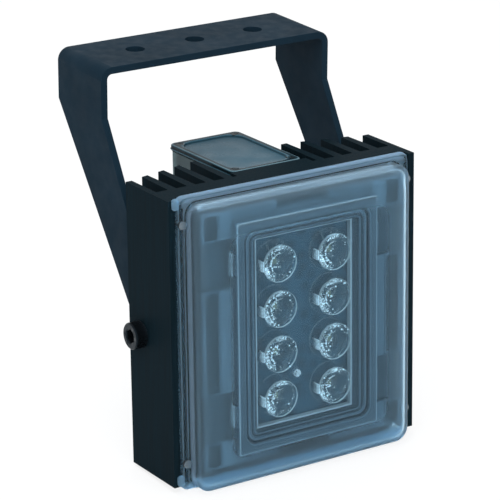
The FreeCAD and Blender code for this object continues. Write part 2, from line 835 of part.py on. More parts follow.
def tray_wings(body):
    """The flat wings on both sides, with side notches, end notches and sunk grooves."""
    wings = sketch(body, "XZ", -WING_BACK)
    centred(wings, WING_SIDE, WING_END, MIDDLE)
    pad(body, wings, s.wing_thick)
    notches = sketch(body, "XZ", -WING_BACK)
    wall = TRAY_SIDE - s.tray_wall
    for level in (-1, 1):
        low, high = notch_ends(level)
        rectangle(notches, -WING_SIDE, low, -wall, high)
        rectangle(notches, wall, low, WING_SIDE, high)
        end = MIDDLE + level * WING_END
        rectangle(notches, -s.end_notch_wide / 2, end - level * s.end_notch_deep,
                  s.end_notch_wide / 2, end)
    cut_through(body, notches)
    grooves = sketch(body, "XZ", -WING_FRONT)
    edge = WING_SIDE - s.wing_border
    stops = [MIDDLE - WING_END, *notch_ends(-1), *notch_ends(1), MIDDLE + WING_END]
    for low, high in zip(stops[0::2], stops[1::2]):
        for start in (-edge, edge - s.wing_groove_wide):
            rectangle(grooves, start, low + s.wing_border, start + s.wing_groove_wide,
                      high - s.wing_border)
    cut(body, grooves, s.wing_groove)


def tray_bezel(body):
    """The raised frame: a sunk rounded field, a bevel down to the window and a hollow back."""
    block = sketch(body, "XZ", -s.front_recess)
    centred(block, TRAY_SIDE, TRAY_END, MIDDLE)
    pad(body, block, s.front_recess - TRAY_FRONT)
    field = sketch(body, "XZ", -TRAY_FRONT)
    rounded_centred(field, TRAY_SIDE - s.tray_rim, TRAY_END - s.tray_rim, MIDDLE, s.tray_corner)
    cut(body, field, s.tray_recess)
    floor = TRAY_FRONT + s.tray_recess
    mouth = sketch(body, "XZ", -floor)
    centred(mouth, WINDOW_SIDE + s.bevel_wide, WINDOW_END + s.bevel_wide, MIDDLE)
    throat = sketch(body, "XZ", -floor - s.bevel_deep)
    centred(throat, WINDOW_SIDE, WINDOW_END, MIDDLE)
    bevel = feature(body, "SubtractiveLoft", "Bevel", Profile=mouth, Sections=[throat], Ruled=True)
    finish(body, bevel)
    window = sketch(body, "XZ", -floor)
    centred(window, WINDOW_SIDE, WINDOW_END, MIDDLE)
    cut(body, window, s.front_recess - floor)
    inside_x, inside_z = TRAY_SIDE - s.tray_wall, TRAY_END - s.tray_wall
    under = sketch(body, "XZ", -s.front_recess)
    centred(under, inside_x, inside_z, MIDDLE)
    cut(body, under, s.front_recess - BOARD_FRONT, True)
    moat = sketch(body, "XZ", -BOARD_FRONT)
    centred(moat, inside_x, inside_z, MIDDLE)
    centred(moat, WINDOW_SIDE + s.window_wall, WINDOW_END + s.window_wall, MIDDLE)
    cut(body, moat, BOARD_FRONT - floor - s.tray_skin, True)


def lamp_tray():
    body = new_body("lamp_tray", HEAD_FRAME)
    tray_wings(body)
    tray_bezel(body)
    tongues = sketch(body, "XZ", -s.front_recess)
    for level in (-1, 1):
        middle = MIDDLE + level * s.notch_apart / 2
        low, high = middle - s.tongue_wide / 2, middle + s.tongue_wide / 2
        for side in (-1, 1):
            rectangle(tongues, side * TRAY_SIDE, low, side * (TRAY_SIDE + s.tongue_thick), high)
    pad(body, tongues, s.front_recess - TRAY_FRONT)
    pegs = sketch(body, "XZ", -WING_BACK)
    for x, z in four_spots(PEG_SIDE, PEG_END):
        circle(pegs, x, z, s.peg_wide / 2)
    pad(body, pegs, s.wing_back + s.peg_deep, True)
    return body


# Clear cover, its gasket and screws

def crowned(body, start, front, half_x, half_z, middle, corner, wide, deep):
    """Outlines up a straight side from start, then over a crown that leans in to the front."""
    outlines = []
    for turn in (None, 0, 25, 45, 65, 90):
        lean = 0.0 if turn is None else round(1 - math.cos(math.radians(turn)), 4)
        rise = start if turn is None else front + deep * round(1 - math.sin(math.radians(turn)), 4)
        outline = sketch(body, "XZ", -rise)
        rounded_centred(outline, half_x - wide * lean, half_z - wide * lean, middle, corner)
        outlines.append(outline)
    return outlines


def front_cover():
    body = new_body("front_cover", HEAD_FRAME)
    flange = sketch(body, "XZ", -FLANGE_BACK)
    rounded_centred(flange, FLANGE_SIDE, FLANGE_END, COVER_MIDDLE, s.flange_corner)
    for x, z in four_spots(COVER_SCREW_SIDE, COVER_SCREW_END):
        circle(flange, x, z, s.cover_screw / 2 + s.screw_gap)
    pad(body, flange, s.flange_thick)
    loft(body, crowned(body, FLANGE_FRONT, DOME_FRONT, DOME_SIDE, DOME_END, DOME_MIDDLE,
                       s.dome_corner, s.crown_wide, s.crown_deep))
    loft(body, crowned(body, FLANGE_BACK, DOME_INSIDE, ROOM_SIDE, ROOM_END, COVER_MIDDLE,
                       s.dome_corner - s.dome_wall, s.room_crown_wide, s.room_crown_deep), True)
    return body


def cover_gasket():
    body = new_body("cover_gasket", HEAD_FRAME)
    inner_x, inner_z = ROOM_SIDE + s.cover_fit, ROOM_END + s.cover_fit
    ring = sketch(body, "XZ", -s.front_recess)
    rounded_centred(ring, inner_x + s.gasket_wide, inner_z + s.gasket_wide, COVER_MIDDLE,
                    s.dome_corner)
    rounded_centred(ring, inner_x, inner_z, COVER_MIDDLE, s.dome_corner - s.gasket_wide)
    pad(body, ring, s.gasket_thick)
    return body


# Junction box behind the head

def box_base():
    body = new_body("box_base", HEAD_FRAME)
    shell = sketch(body, "XY", BOX_FLOOR)
    rounded(shell, -BOX_BODY_HALF, PAD_BACK, BOX_BODY_HALF, BOX_BODY_BACK, s.box_corner)
    pad(body, shell, BOX_TOP - BOX_FLOOR)
    room = sketch(body, "XY", BOX_TOP)
    inner = BOX_BODY_HALF - s.box_wall
    rectangle(room, -inner, BOX_INNER_FRONT, inner, BOX_BODY_BACK - s.box_wall)
    floor = BOX_FLOOR + s.box_wall
    cut(body, room, BOX_TOP - floor)
    bosses = sketch(body, "XY", floor)
    screws = [(x, y) for x in (-LID_SCREW_SIDE, LID_SCREW_SIDE)
              for y in (LID_SCREW_FRONT, LID_SCREW_BACK)]
    for x, y in screws:
        circle(bosses, x, y, s.boss_wide / 2)
    pad(body, bosses, BOX_TOP - floor)
    taps = sketch(body, "XY", BOX_TOP)
    for x, y in screws:
        circle(taps, x, y, s.lid_screw / 2 + s.thread_gap)
    cut(body, taps, s.lid_screw_long)
    posts = sketch(body, "XY", floor)
    post_side = s.driver_wide / 2 - s.driver_margin
    for x in (-post_side, post_side):
        for y in (DRIVER_FRONT + s.driver_margin, DRIVER_BACK - s.driver_margin):
            circle(posts, x, y, s.post_wide / 2)
    pad(body, posts, s.post_high)
    entry = sketch(body, "XY", floor)
    circle(entry, 0, GLAND_Y, s.gland_thread / 2 + s.screw_gap)
    cut(body, entry, s.box_wall)
    front = sketch(body, "XZ", -BOX_INNER_FRONT)
    for x in (-s.box_screw_apart / 2, s.box_screw_apart / 2):
        circle(front, x, BOX_SCREW_UP, s.box_screw / 2 + s.screw_gap)
    circle(front, 0, MIDDLE + WIRE_UP, s.wire_hole / 2)
    cut(body, front, s.box_wall, True)
    return body


def box_gasket():
    body = new_body("box_gasket", HEAD_FRAME)
    ring = sketch(body, "XY", BOX_TOP)
    edge = (s.box_wall - s.lid_gasket_wide) / 2
    wide = edge + s.lid_gasket_wide
    for inset in (edge, wide):
        rectangle(ring, -BOX_BODY_HALF + inset, PAD_BACK + inset,
                  BOX_BODY_HALF - inset, BOX_BODY_BACK - inset)
    pad(body, ring, s.lid_gasket)
    return body


def box_lid():
    body = new_body("box_lid", HEAD_FRAME)
    low = BOX_TOP + s.lid_gasket
    screws = [(x, y) for x in (-LID_SCREW_SIDE, LID_SCREW_SIDE)
              for y in (LID_SCREW_FRONT, LID_SCREW_BACK)]
    plate = sketch(body, "XY", low)
    rounded(plate, -BOX_HALF, LID_FRONT, BOX_HALF, LID_BACK, s.box_corner)
    for x, y in screws:
        circle(plate, x, y, s.lid_screw / 2 + s.screw_gap)
    pad(body, plate, s.lid_thick)
    field = sketch(body, "XY", s.head_height)
    rounded(field, -BOX_HALF + s.lid_rim, LID_FRONT + s.lid_rim, BOX_HALF - s.lid_rim,
            LID_BACK - s.lid_rim, s.lid_recess_corner)
    cut(body, field, s.lid_recess)
    seats = sketch(body, "XY", s.head_height)
    for x, y in screws:
        circle(seats, x, y, s.lid_screw_head / 2 + s.lid_screw_fit)
    cut(body, seats, s.lid_screw_high)
    return body


def lid_screws():
    body = new_body("box_lid_screws", HEAD_FRAME)
    seat = s.head_height - s.lid_screw_high
    head, shank = s.lid_screw_head / 2, s.lid_screw / 2
    end = BOX_TOP - s.lid_screw_long
    outline = [(0, end), (shank, end), (shank, seat), (head, seat),
               (head, s.head_height), (0, s.head_height)]
    for y in (LID_SCREW_FRONT, LID_SCREW_BACK):
        for x in (-LID_SCREW_SIDE, LID_SCREW_SIDE):
            turned_beside(body, "XZ", -y, x, outline)
    return body


def box_fixing_screws():
    """Screws from inside the box's front wall into the pad of the heat sink."""
    body = new_body("box_fixing_screws", HEAD_FRAME)
    face, shank, head = BOX_INNER_FRONT, s.box_screw / 2, s.box_screw_head / 2
    tip = face - s.box_screw_long
    crown = face + s.box_screw_high
    outline = [(0, tip), (shank, tip), (shank, face), (head, face), (head, crown), (0, crown)]
    for x in (-s.box_screw_apart / 2, s.box_screw_apart / 2):
        turned_beside(body, "XY", BOX_SCREW_UP, x, outline)
    return body


def driver_pieces():
    board = new_body("driver_board", HEAD_FRAME)
    outline = sketch(board, "XY", DRIVER_LOW)
    rectangle(outline, -s.driver_wide / 2, DRIVER_FRONT, s.driver_wide / 2, DRIVER_BACK)
    pad(board, outline, s.driver_thick)
    coil_y = DRIVER_FRONT + s.coil_inset + s.coil_wide / 2
    coil = new_body("driver_coil", f"{HEAD_FRAME} * {moved(0, coil_y, DRIVER_HIGH)}")
    round_plan = sketch(coil, "XY")
    circle(round_plan, 0, 0, s.coil_wide / 2)
    pad(coil, round_plan, s.coil_high)
    back = DRIVER_BACK - s.terminal_inset
    block = new_body("terminal_block", f"{HEAD_FRAME} * {moved(0, back, DRIVER_HIGH)}")
    plan = sketch(block, "XY")
    rectangle(plan, -s.terminal_wide / 2, -s.terminal_long, s.terminal_wide / 2, 0)
    pad(block, plan, s.terminal_high)
    wells = sketch(block, "XY", s.terminal_high)
    for step in (-1, 0, 1):
        circle(wells, step * s.terminal_wide / TERMINAL_WAYS, -s.terminal_long / 2,
               s.terminal_well / 2)
    cut(block, wells, s.terminal_well_deep)
    return [board, coil, block]


def wire_grommet():
    body = new_body("wire_grommet", HEAD_FRAME)
    tube = sketch(body, "XZ", -BOX_INNER_FRONT)
    outer = s.wire_hole / 2 - s.grommet_fit
    circle(tube, 0, MIDDLE + WIRE_UP, outer)
    circle(tube, 0, MIDDLE + WIRE_UP, outer - s.grommet_wall)
    pad(body, tube, BOX_INNER_FRONT - s.front_recess)
    return body


# Cable gland under the box: heights from the underside of the box

def gland_pieces():
    frame = f"{HEAD_FRAME} * {moved(0, GLAND_Y, BOX_FLOOR)}"
    thread, bore, tail = s.gland_thread / 2, s.gland_bore / 2, s.gland_tail_wide / 2
    seat = s.seal_bore / 2 + s.seal_wall
    tail_end = -s.gland_flange - s.gland_tail
    seal_top = tail_end + s.seal_long - s.seal_proud
    fit = s.thread_gap

    body = new_body("gland_body", frame)
    flange = sketch(body, "XY", -s.gland_flange)
    hexagon(flange, 0, 0, s.gland_across)
    circle(flange, 0, 0, bore)
    pad(body, flange, s.gland_flange)
    for outer, start, length, inner in ((thread, 0, s.gland_stub, bore),
                                        (tail, tail_end, s.gland_tail, bore)):
        sleeve = sketch(body, "XY", start)
        circle(sleeve, 0, 0, outer)
        circle(sleeve, 0, 0, inner)
        pad(body, sleeve, length)
    pocket = sketch(body, "XY", tail_end)
    circle(pocket, 0, 0, seat + fit)
    cut(body, pocket, seal_top - tail_end, True)

    locknut = new_body("gland_locknut", frame)
    plan = sketch(locknut, "XY", s.box_wall)
    hexagon(plan, 0, 0, s.locknut_across)
    circle(plan, 0, 0, thread + fit)
    pad(locknut, plan, s.locknut_thick)

    seal = new_body("gland_seal", frame)
    ring = sketch(seal, "XY", seal_top)
    circle(ring, 0, 0, seat)
    circle(ring, 0, 0, s.seal_bore / 2)
    pad(seal, ring, s.seal_long, True)

    cap = new_body("gland_nut", frame)
    cap_top = -s.gland_flange - s.gland_cap_gap
    cap_room = seal_top - s.seal_long
    outside = sketch(cap, "XY", cap_top)
    hexagon(outside, 0, 0, s.gland_cap_across)
    circle(outside, 0, 0, s.gland_cap_hole / 2)
    pad(cap, outside, cap_top - cap_room + s.gland_cap_end, True)
    room = sketch(cap, "XY", cap_top)
    circle(room, 0, 0, tail + fit)
    cut(cap, room, cap_top - cap_room)
    return [body, locknut, seal, cap]


def build():
    pieces = [mounting_bracket()]
    for side_name, side in (("left", -1), ("right", 1)):
        pieces += [pivot_screw(side_name, side), pivot_washer(side_name, side)]
    pieces.append(heat_sink())
    pieces += lamp_plates()
    pieces.append(front_screws("board_screws", four_spots(BOARD_SCREW_SIDE, BOARD_SCREW_END),
                               BOARD_FRONT, s.board_screw, s.board_screw_head,
                               s.board_screw_high, s.board_screw_long))
    pieces += lamps()
    pieces += [light_sensor(), lamp_tray(), front_cover(), cover_gasket()]
    pieces.append(front_screws("cover_screws", four_spots(COVER_SCREW_SIDE, COVER_SCREW_END),
                               FLANGE_FRONT, s.cover_screw, s.ledge_side - 2 * s.cover_screw_land,
                               s.cover_screw_high, s.cover_screw_long))
    pieces += [box_base(), box_gasket(), box_lid(), lid_screws(), box_fixing_screws()]
    pieces += driver_pieces()
    pieces.append(wire_grommet())
    pieces += gland_pieces()
    return pieces


def write(pieces):
    doc.recompute()
    for item in doc.Objects:
        if "Invalid" in item.State or "Error" in item.State:
            raise RuntimeError(f"{item.Label} failed: {item.State}")
    for piece in pieces:
        if piece.Shape.isNull() or not piece.Shape.isValid():
            raise RuntimeError(f"{piece.Label} has no valid shape")
    os.makedirs("parts", exist_ok=True)
    for piece in pieces:
        piece.Shape.exportStep(f"parts/{piece.Label}.step")


write(build())
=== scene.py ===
import json

import bmesh
import bpy
import numpy as np
from bpy.props import FloatProperty, FloatVectorProperty, PointerProperty
from bpy.types import Operator, Panel, PropertyGroup
from mathutils import Matrix, Vector


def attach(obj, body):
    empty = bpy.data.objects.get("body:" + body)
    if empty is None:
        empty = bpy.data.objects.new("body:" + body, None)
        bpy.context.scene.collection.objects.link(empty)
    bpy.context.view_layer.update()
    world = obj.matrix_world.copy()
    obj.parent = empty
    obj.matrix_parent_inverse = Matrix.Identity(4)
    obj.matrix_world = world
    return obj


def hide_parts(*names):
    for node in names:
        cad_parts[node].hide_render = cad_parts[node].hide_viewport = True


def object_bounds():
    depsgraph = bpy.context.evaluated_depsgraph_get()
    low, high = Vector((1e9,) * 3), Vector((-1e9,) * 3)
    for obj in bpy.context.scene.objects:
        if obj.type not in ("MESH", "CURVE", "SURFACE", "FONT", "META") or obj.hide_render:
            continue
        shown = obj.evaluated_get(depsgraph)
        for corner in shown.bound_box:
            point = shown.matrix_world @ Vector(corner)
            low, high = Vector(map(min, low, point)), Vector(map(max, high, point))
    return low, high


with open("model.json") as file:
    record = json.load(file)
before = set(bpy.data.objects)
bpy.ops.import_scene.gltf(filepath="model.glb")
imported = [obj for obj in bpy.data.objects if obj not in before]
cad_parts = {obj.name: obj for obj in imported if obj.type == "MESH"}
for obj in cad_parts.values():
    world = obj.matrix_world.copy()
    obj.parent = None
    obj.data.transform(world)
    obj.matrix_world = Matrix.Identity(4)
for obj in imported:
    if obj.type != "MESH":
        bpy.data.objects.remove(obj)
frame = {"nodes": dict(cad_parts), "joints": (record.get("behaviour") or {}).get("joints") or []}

bl_info = {
    "name": "White light illuminator",
    "version": (1, 0, 0),
    "blender": (4, 5, 0),
    "location": "3D View > Sidebar > Illuminator",
    "description": "Dresses the packed lamp head, its bracket and its studio",
    "category": "Object",
}

CAD_BOX = [list(corner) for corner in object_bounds()]
NODES = frame["nodes"]
MM = 0.001

# The head leans back by its tilt about the pivot: these carry its own frame (X from the middle
# of its width, Y rearward from the side walls' front edge, Z up from its lower end) to the row.
HEAD_TILT = np.radians(1.9)
PIVOT_IN_HEAD = np.array([0.0, 26.5, 66.0])
PIVOT_IN_ROW = np.array(frame["joints"][0]["pos_m"]) / MM


def from_head(points):
    """Head frame in millimetres to the row's in metres: a turn about X at the pivot."""
    across, back, up = (np.asarray(points, float) - PIVOT_IN_HEAD).T
    lean, rise = np.sin(HEAD_TILT), np.cos(HEAD_TILT)
    turned = np.stack([across, back * rise + up * lean, up * rise - back * lean], axis=1)
    return (turned + PIVOT_IN_ROW) * MM


# Shapes: every new piece is rings of points worked out as whole arrays

def soften(profile, reach, steps=4):
    """Each corner of a run swapped for a parabola that starts and ends `reach` from it."""
    profile = np.asarray(profile, float)
    corner = profile[1:-1]

    def along(ends):
        span = ends - corner
        length = np.linalg.norm(span, axis=1, keepdims=True)
        return corner + span * np.minimum(reach / np.maximum(length, 1e-9), 0.5)

    start, stop = along(profile[:-2]), along(profile[2:])
    part = np.linspace(0, 1, steps)[:, None, None]
    arcs = (1 - part) ** 2 * start + 2 * part * (1 - part) * corner + part ** 2 * stop
    middle = arcs.transpose(1, 0, 2).reshape(-1, profile.shape[1])
    return np.concatenate([profile[:1], middle, profile[-1:]])


def outlines(rows, steps=9):
    """Rounded rectangles: each corner's centre plus its radius times the cosine and sine of a
    quarter turn. A row is half width, half height, middle height, corner radius and depth."""
    half_x, half_z, middle, corner, back = np.asarray(rows, float).T[:, :, None]
    turn = np.add.outer(np.arange(4) * np.pi / 2, np.linspace(0, np.pi / 2, steps)).ravel()
    side_x = np.repeat([1.0, -1.0, -1.0, 1.0], steps)
    side_z = np.repeat([1.0, 1.0, -1.0, -1.0], steps)
    x = side_x * (half_x - corner) + corner * np.cos(turn)
    z = middle + side_z * (half_z - corner) + corner * np.sin(turn)
    return np.stack([x, back + 0 * x, z], axis=2)


def levelled(table, middle):
    """Rows for outlines, and their tones: each row of the table is half width, half height,
    corner radius, depth and tone, and all lie round one middle height."""
    wide, high, corner, back, tone = np.asarray(table, float).T
    return np.stack([wide, high, middle + 0 * wide, corner, back], axis=1), tone


def turned(profile, origin, axis, columns, swell=0.0, lift=0.0):
    """A profile of radius and rise turned about an axis: origin plus radius times (cos, sin)
    across the axis plus rise along it. swell scales the radius, lift adds to the rise."""
    axis = np.asarray(axis, float)
    across = np.array([1.0, 0.0, 0.0]) if abs(axis[0]) < 0.5 else np.array([0.0, 1.0, 0.0])
    over = np.cross(axis, across)
    radius, rise = np.asarray(profile, float).T[:, :, None]
    turn = np.linspace(0, 2 * np.pi, columns, endpoint=False)
    radius = radius * (1 + swell + 0 * turn)
    rise = rise + lift + 0 * turn
    return (np.asarray(origin, float) + radius[..., None] * np.cos(turn)[:, None] * across
            + radius[..., None] * np.sin(turn)[:, None] * over + rise[..., None] * axis)


def ring_faces(rings, first):
    """Quads between closed rings of equal length, and one face over each end of an open run."""
    rows, columns = rings.shape[:2]
    upper = first + np.arange(rows - 1)[:, None] * columns
    here = np.arange(columns)
    after = (here + 1) % columns
    quads = np.stack([upper + here, upper + after, upper + columns + after, upper + columns + here],
                     axis=2).reshape(-1, 4)
    last = first + (rows - 1) * columns
    ends = [list(range(first, first + columns)), list(range(last, last + columns))]
    return quads.tolist() + ([] if np.allclose(rings[0], rings[-1]) else ends)


def piece(name, shells, finish, nodes=(), tones=None, smooth=35.0, body="head"):
    """A mesh of closed shells in the head's frame, faces outward, riding on its body. A tone
    for each point, from 0 to 1, is kept for the finish to read."""
    points, faces = [], []
    for rings in shells:
        faces += ring_faces(rings, sum(len(part) for part in points))
        points.append(rings.reshape(-1, 3))
    mesh = bpy.data.meshes.new(name)
    mesh.from_pydata(from_head(np.concatenate(points)), [], faces)
    if tones is not None:
        tone = mesh.attributes.new("tone", "FLOAT", "POINT")
        tone.data.foreach_set("value", np.concatenate([np.ravel(part) for part in tones]))
    made = bmesh.new()
    made.from_mesh(mesh)
    bmesh.ops.remove_doubles(made, verts=made.verts, dist=1e-7)
    bmesh.ops.recalc_face_normals(made, faces=made.faces)
    made.to_mesh(mesh)
    made.free()
    mesh.shade_smooth()
    mesh.set_sharp_from_angle(angle=np.radians(smooth))
    mesh.materials.append(finish)
    placed = bpy.data.objects.new(name, mesh)
    bpy.context.scene.collection.objects.link(placed)
    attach(placed, body)
    if nodes:
        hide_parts(*nodes)
    return placed


# Node trees

class Tree:
    """One material's nodes, made and linked in short calls."""

    def __init__(self, name):
        self.material = bpy.data.materials.new(name)
        self.material.use_nodes = True
        self.tree = self.material.node_tree
        self.tree.nodes.clear()
        self.output = self.add("ShaderNodeOutputMaterial")
        self.shader = self.add("ShaderNodeBsdfPrincipled")
        self.link(self.shader.outputs["BSDF"], self.output.inputs["Surface"])
        self.place = self.add("ShaderNodeTexCoord").outputs["Object"]

    def add(self, kind, **settings):
        """A node of a kind, with values for its sockets or for itself by name."""
        node = self.tree.nodes.new(kind)
        for key, value in settings.items():
            if key in node.inputs:
                node.inputs[key].default_value = value
            else:
                setattr(node, key, value)
        return node

    def link(self, source, target):
        self.tree.links.new(source, target)

    def set(self, **values):
        """Numbers and colours that are the same all over the surface."""
        for key, value in values.items():
            self.shader.inputs[key.replace("_", " ")].default_value = value

    def drive(self, socket, source):
        """A pattern into one of the shader's sockets."""
        self.link(source, self.shader.inputs[socket])

    def tone(self):
        """The tone that a piece keeps for each of its points."""
        return self.add("ShaderNodeAttribute", attribute_name="tone").outputs["Fac"]

    def noise(self, scale, detail=3.0, stretch=(1, 1, 1)):
        """Noise of so many features per metre, on Object coordinates."""
        mapping = self.add("ShaderNodeMapping")
        mapping.inputs["Scale"].default_value = stretch
        self.link(self.place, mapping.inputs["Vector"])
        made = self.add("ShaderNodeTexNoise", Scale=scale, Detail=detail)
        self.link(mapping.outputs["Vector"], made.inputs["Vector"])
        return made.outputs["Fac"]

    def cells(self, scale):
        """Distance to the nearest of so many seeds per metre."""
        made = self.add("ShaderNodeTexVoronoi", Scale=scale)
        self.link(self.place, made.inputs["Vector"])
        return made.outputs["Distance"]

    def ramp(self, source, low, high, start=0.35, end=0.65):
        """Runs from low to high while the source runs from start to end."""
        made = self.add("ShaderNodeMapRange", **{"From Min": start, "From Max": end,
                                                 "To Min": low, "To Max": high})
        self.link(source, made.inputs["Value"])
        return made.outputs["Result"]

    def blend(self, source, first, second, start=0.35, end=0.65):
        """Runs from one colour to another while the source runs from start to end."""
        made = self.add("ShaderNodeValToRGB")
        for element, place, colour in zip(made.color_ramp.elements, (start, end), (first, second)):
            element.position = place
            element.color = (*colour, 1.0)
        self.link(source, made.inputs["Fac"])
        return made.outputs["Color"]

    def stops(self, source, pairs):
        """Runs through several values or colours: pairs of place and value along the source."""
        made = self.add("ShaderNodeValToRGB")
        while len(made.color_ramp.elements) < len(pairs):
            made.color_ramp.elements.new(1.0)
        for element, (place, value) in zip(made.color_ramp.elements, pairs):
            element.position = place
            element.color = (*(value if isinstance(value, tuple) else (value,) * 3), 1.0)
        self.link(source, made.inputs["Fac"])
        return made.outputs["Color"]

    def bump(self, source, strength, depth):
        """Relief of a depth in millimetres."""
        made = self.add("ShaderNodeBump", Strength=strength, Distance=depth * MM)
        self.link(source, made.inputs["Height"])
        self.link(made.outputs["Normal"], self.shader.inputs["Normal"])


def sheen(made, level, tint):
    """Strength and tint of the reflection straight on; it stays white at grazing angles."""
    made.set(Specular_IOR_Level=level, Specular_Tint=(*tint, 1.0))


def shade(colour, factor):
    """A colour made darker or lighter by a factor."""
    return tuple(min(1.0, part * factor) for part in colour)


# Tint of the reflections on dark surfaces, which are bluish in the photograph
COOL = (0.45, 0.75, 1.0)


def coated(name, colour, roughness=0.55, depth=0.02, spread=0.12, level=0.07):
    """Sprayed or powder coat: a fine pebble, cloudy tone and slightly uneven gloss."""
    made = Tree(name)
    made.set(IOR=1.3)
    sheen(made, level, COOL)
    clouds = made.noise(38.0, 4.0)
    made.drive("Base Color", made.blend(clouds, shade(colour, 1 - spread),
                                        shade(colour, 1 + spread)))
    made.drive("Roughness", made.ramp(made.noise(160.0), roughness - 0.06, roughness + 0.08))
    made.bump(made.noise(2600.0, 2.0), 0.5, depth)
    return made.material


def extruded(name, colour):
    """Anodised extrusion: die lines along its length over a satin black."""
    made = Tree(name)
    made.set(IOR=1.25)
    sheen(made, 0.03, COOL)
    lines = made.noise(900.0, 4.0, (1, 1, 0.03))
    made.drive("Base Color", made.blend(lines, shade(colour, 0.8), shade(colour, 1.25)))
    made.drive("Roughness", made.ramp(lines, 0.43, 0.6))
    made.bump(lines, 0.35, 0.02)
    return made.material


def moulded(name, colour, roughness=0.35):
    """Injection-moulded plastic: an even tone with a very fine spark-eroded grain."""
    made = Tree(name)
    sheen(made, 0.25, COOL)
    made.drive("Base Color", made.blend(made.noise(60.0), shade(colour, 0.9), shade(colour, 1.1)))
    made.drive("Roughness", made.ramp(made.noise(240.0), roughness - 0.04, roughness + 0.06))
    made.bump(made.noise(1800.0, 2.0), 0.3, 0.012)
    return made.material


def rubber(name, colour):
    """Matt rubber or filled silicone with a finely pitted skin."""
    made = Tree(name)
    made.drive("Base Color", made.blend(made.noise(120.0), shade(colour, 0.8), shade(colour, 1.3)))
    made.drive("Roughness", made.ramp(made.noise(500.0), 0.6, 0.8))
    made.bump(made.cells(2200.0), 0.3, 0.015)
    return made.material


def metal(name, colour, roughness=0.3):
    """Bare or oxidised metal of slightly uneven gloss."""
    made = Tree(name)
    made.set(Metallic=1.0)
    grain = made.noise(1200.0, 4.0)
    made.drive("Base Color", made.blend(grain, shade(colour, 0.85), shade(colour, 1.1)))
    made.drive("Roughness", made.ramp(grain, roughness - 0.08, roughness + 0.1))
    made.bump(grain, 0.3, 0.01)
    return made.material


def crystal(name, colour):
    """Clear moulding that turns frosted white with its tone, on cut facets and sharp rims,
    where the white is partly painted glints and highlights.
    """
    made = Tree(name)
    made.set(IOR=1.15)
    sheen(made, 0.8, (0.8, 0.92, 1.0))
    frost_and_glint = made.tone()
    flow = made.noise(260.0, 2.0)
    made.drive("Base Color", made.blend(flow, shade(colour, 0.96), shade(colour, 1.03)))
    # White where the tone is high: frosted, and partly painted glints
    made.drive("Transmission Weight", made.ramp(frost_and_glint, 0.99, 0.05, 0.1, 0.95))
    made.drive("Roughness", made.ramp(frost_and_glint, 0.02, 0.3, 0.0, 1.0))
    made.bump(flow, 0.1, 0.01)
    return made.material


def painted_light_frame(name, colour):
    """Moulded frame whose edges and walls are painted paler, as highlights, and whose grooves
    are painted darker, as shade, by its tone.
    """
    made = Tree(name)
    sheen(made, 0.25, COOL)
    # The tone runs from painted shade in the grooves to painted highlight on the edges and the pale
    # lit window wall
    ramp = made.stops(made.tone(), ((0.0, shade(colour, 0.12)), (0.5, shade(colour, 1.0)),
                                    (0.8, shade(colour, 2.0)), (1.0, (0.38, 0.41, 0.43))))
    cloud = made.add("ShaderNodeMix", data_type="RGBA", blend_type="MULTIPLY")
    cloud.inputs["Factor"].default_value = 1.0
    # A Mix node's colour sockets share their names with its other ones: 6 and 7 in, 2 out
    made.link(ramp, cloud.inputs[6])
    made.link(made.blend(made.noise(60.0), (0.86, 0.86, 0.86), (1.0, 1.0, 1.0)), cloud.inputs[7])
    made.drive("Base Color", cloud.outputs[2])
    made.drive("Roughness", made.ramp(made.noise(240.0), 0.31, 0.41))
    made.bump(made.noise(1800.0, 2.0), 0.3, 0.012)
    return made.material


def smoked(name, colour):
    """Smoked moulding that lets some light through: cloudy, with a low ripple."""
    made = Tree(name)
    made.set(IOR=1.25)
    sheen(made, 1.0, COOL)
    cloud = made.noise(70.0)
    made.drive("Base Color", made.blend(cloud, shade(colour, 0.8), shade(colour, 1.15)))
    made.drive("Transmission Weight", made.ramp(cloud, 0.62, 0.72))
    made.drive("Roughness", made.ramp(made.noise(240.0), 0.28, 0.34))
    made.bump(cloud, 0.1, 0.02)
    return made.material


def laminate(name, colour):
    """Lamp board: solder resist with darker copper areas showing through."""
    made = Tree(name)
    sheen(made, 0.2, COOL)
    made.drive("Base Color", made.blend(made.cells(160.0), shade(colour, 0.7), shade(colour, 1.3),
                                        0.2, 0.6))
    made.drive("Roughness", made.ramp(made.noise(300.0), 0.28, 0.42))
    made.bump(made.noise(900.0), 0.25, 0.02)
    return made.material


class IlluminatorSettings(PropertyGroup):
    """Colours and sizes that a user would change"""
    bracket_colour: FloatVectorProperty(
        name="Bracket", description="Paint of the strip bracket", subtype="COLOR",
        default=(0.007, 0.017, 0.027), min=0.0, max=1.0)
    heat_sink_colour: FloatVectorProperty(
        name="Heat sink", description="Anodised finish of the finned extrusion", subtype="COLOR",
        default=(0.0045, 0.0105, 0.0145), min=0.0, max=1.0)
    tray_colour: FloatVectorProperty(
        name="Tray", description="Moulded frame round the lamp board", subtype="COLOR",
        default=(0.043, 0.059, 0.073), min=0.0, max=1.0)
    board_colour: FloatVectorProperty(
        name="Lamp board", description="Solder resist of the lamp board", subtype="COLOR",
        default=(0.022, 0.047, 0.065), min=0.0, max=1.0)
    cover_tint: FloatVectorProperty(
        name="Cover tint", description="Tint of the clear front cover", subtype="COLOR",
        default=(0.72, 0.9, 1.0), min=0.0, max=1.0)
    bracket_edge: FloatProperty(
        name="Bracket edges", description="Width of the strip bracket's broken edges",
        unit="LENGTH", default=0.45 * MM, min=0.0, precision=5)
    box_edge: FloatProperty(
        name="Box edges", description="Width of the junction box's broken edges",
        unit="LENGTH", default=0.4 * MM, min=0.0, precision=5)
    fine_edge: FloatProperty(
        name="Fine edges", description="Width of the broken edges of heat sink, tray and gland",
        unit="LENGTH", default=0.3 * MM, min=0.0, precision=5)
    camera_lens: FloatProperty(
        name="Camera lens", description="Focal length fitted to the photograph", unit="CAMERA",
        default=195.8, min=1.0)


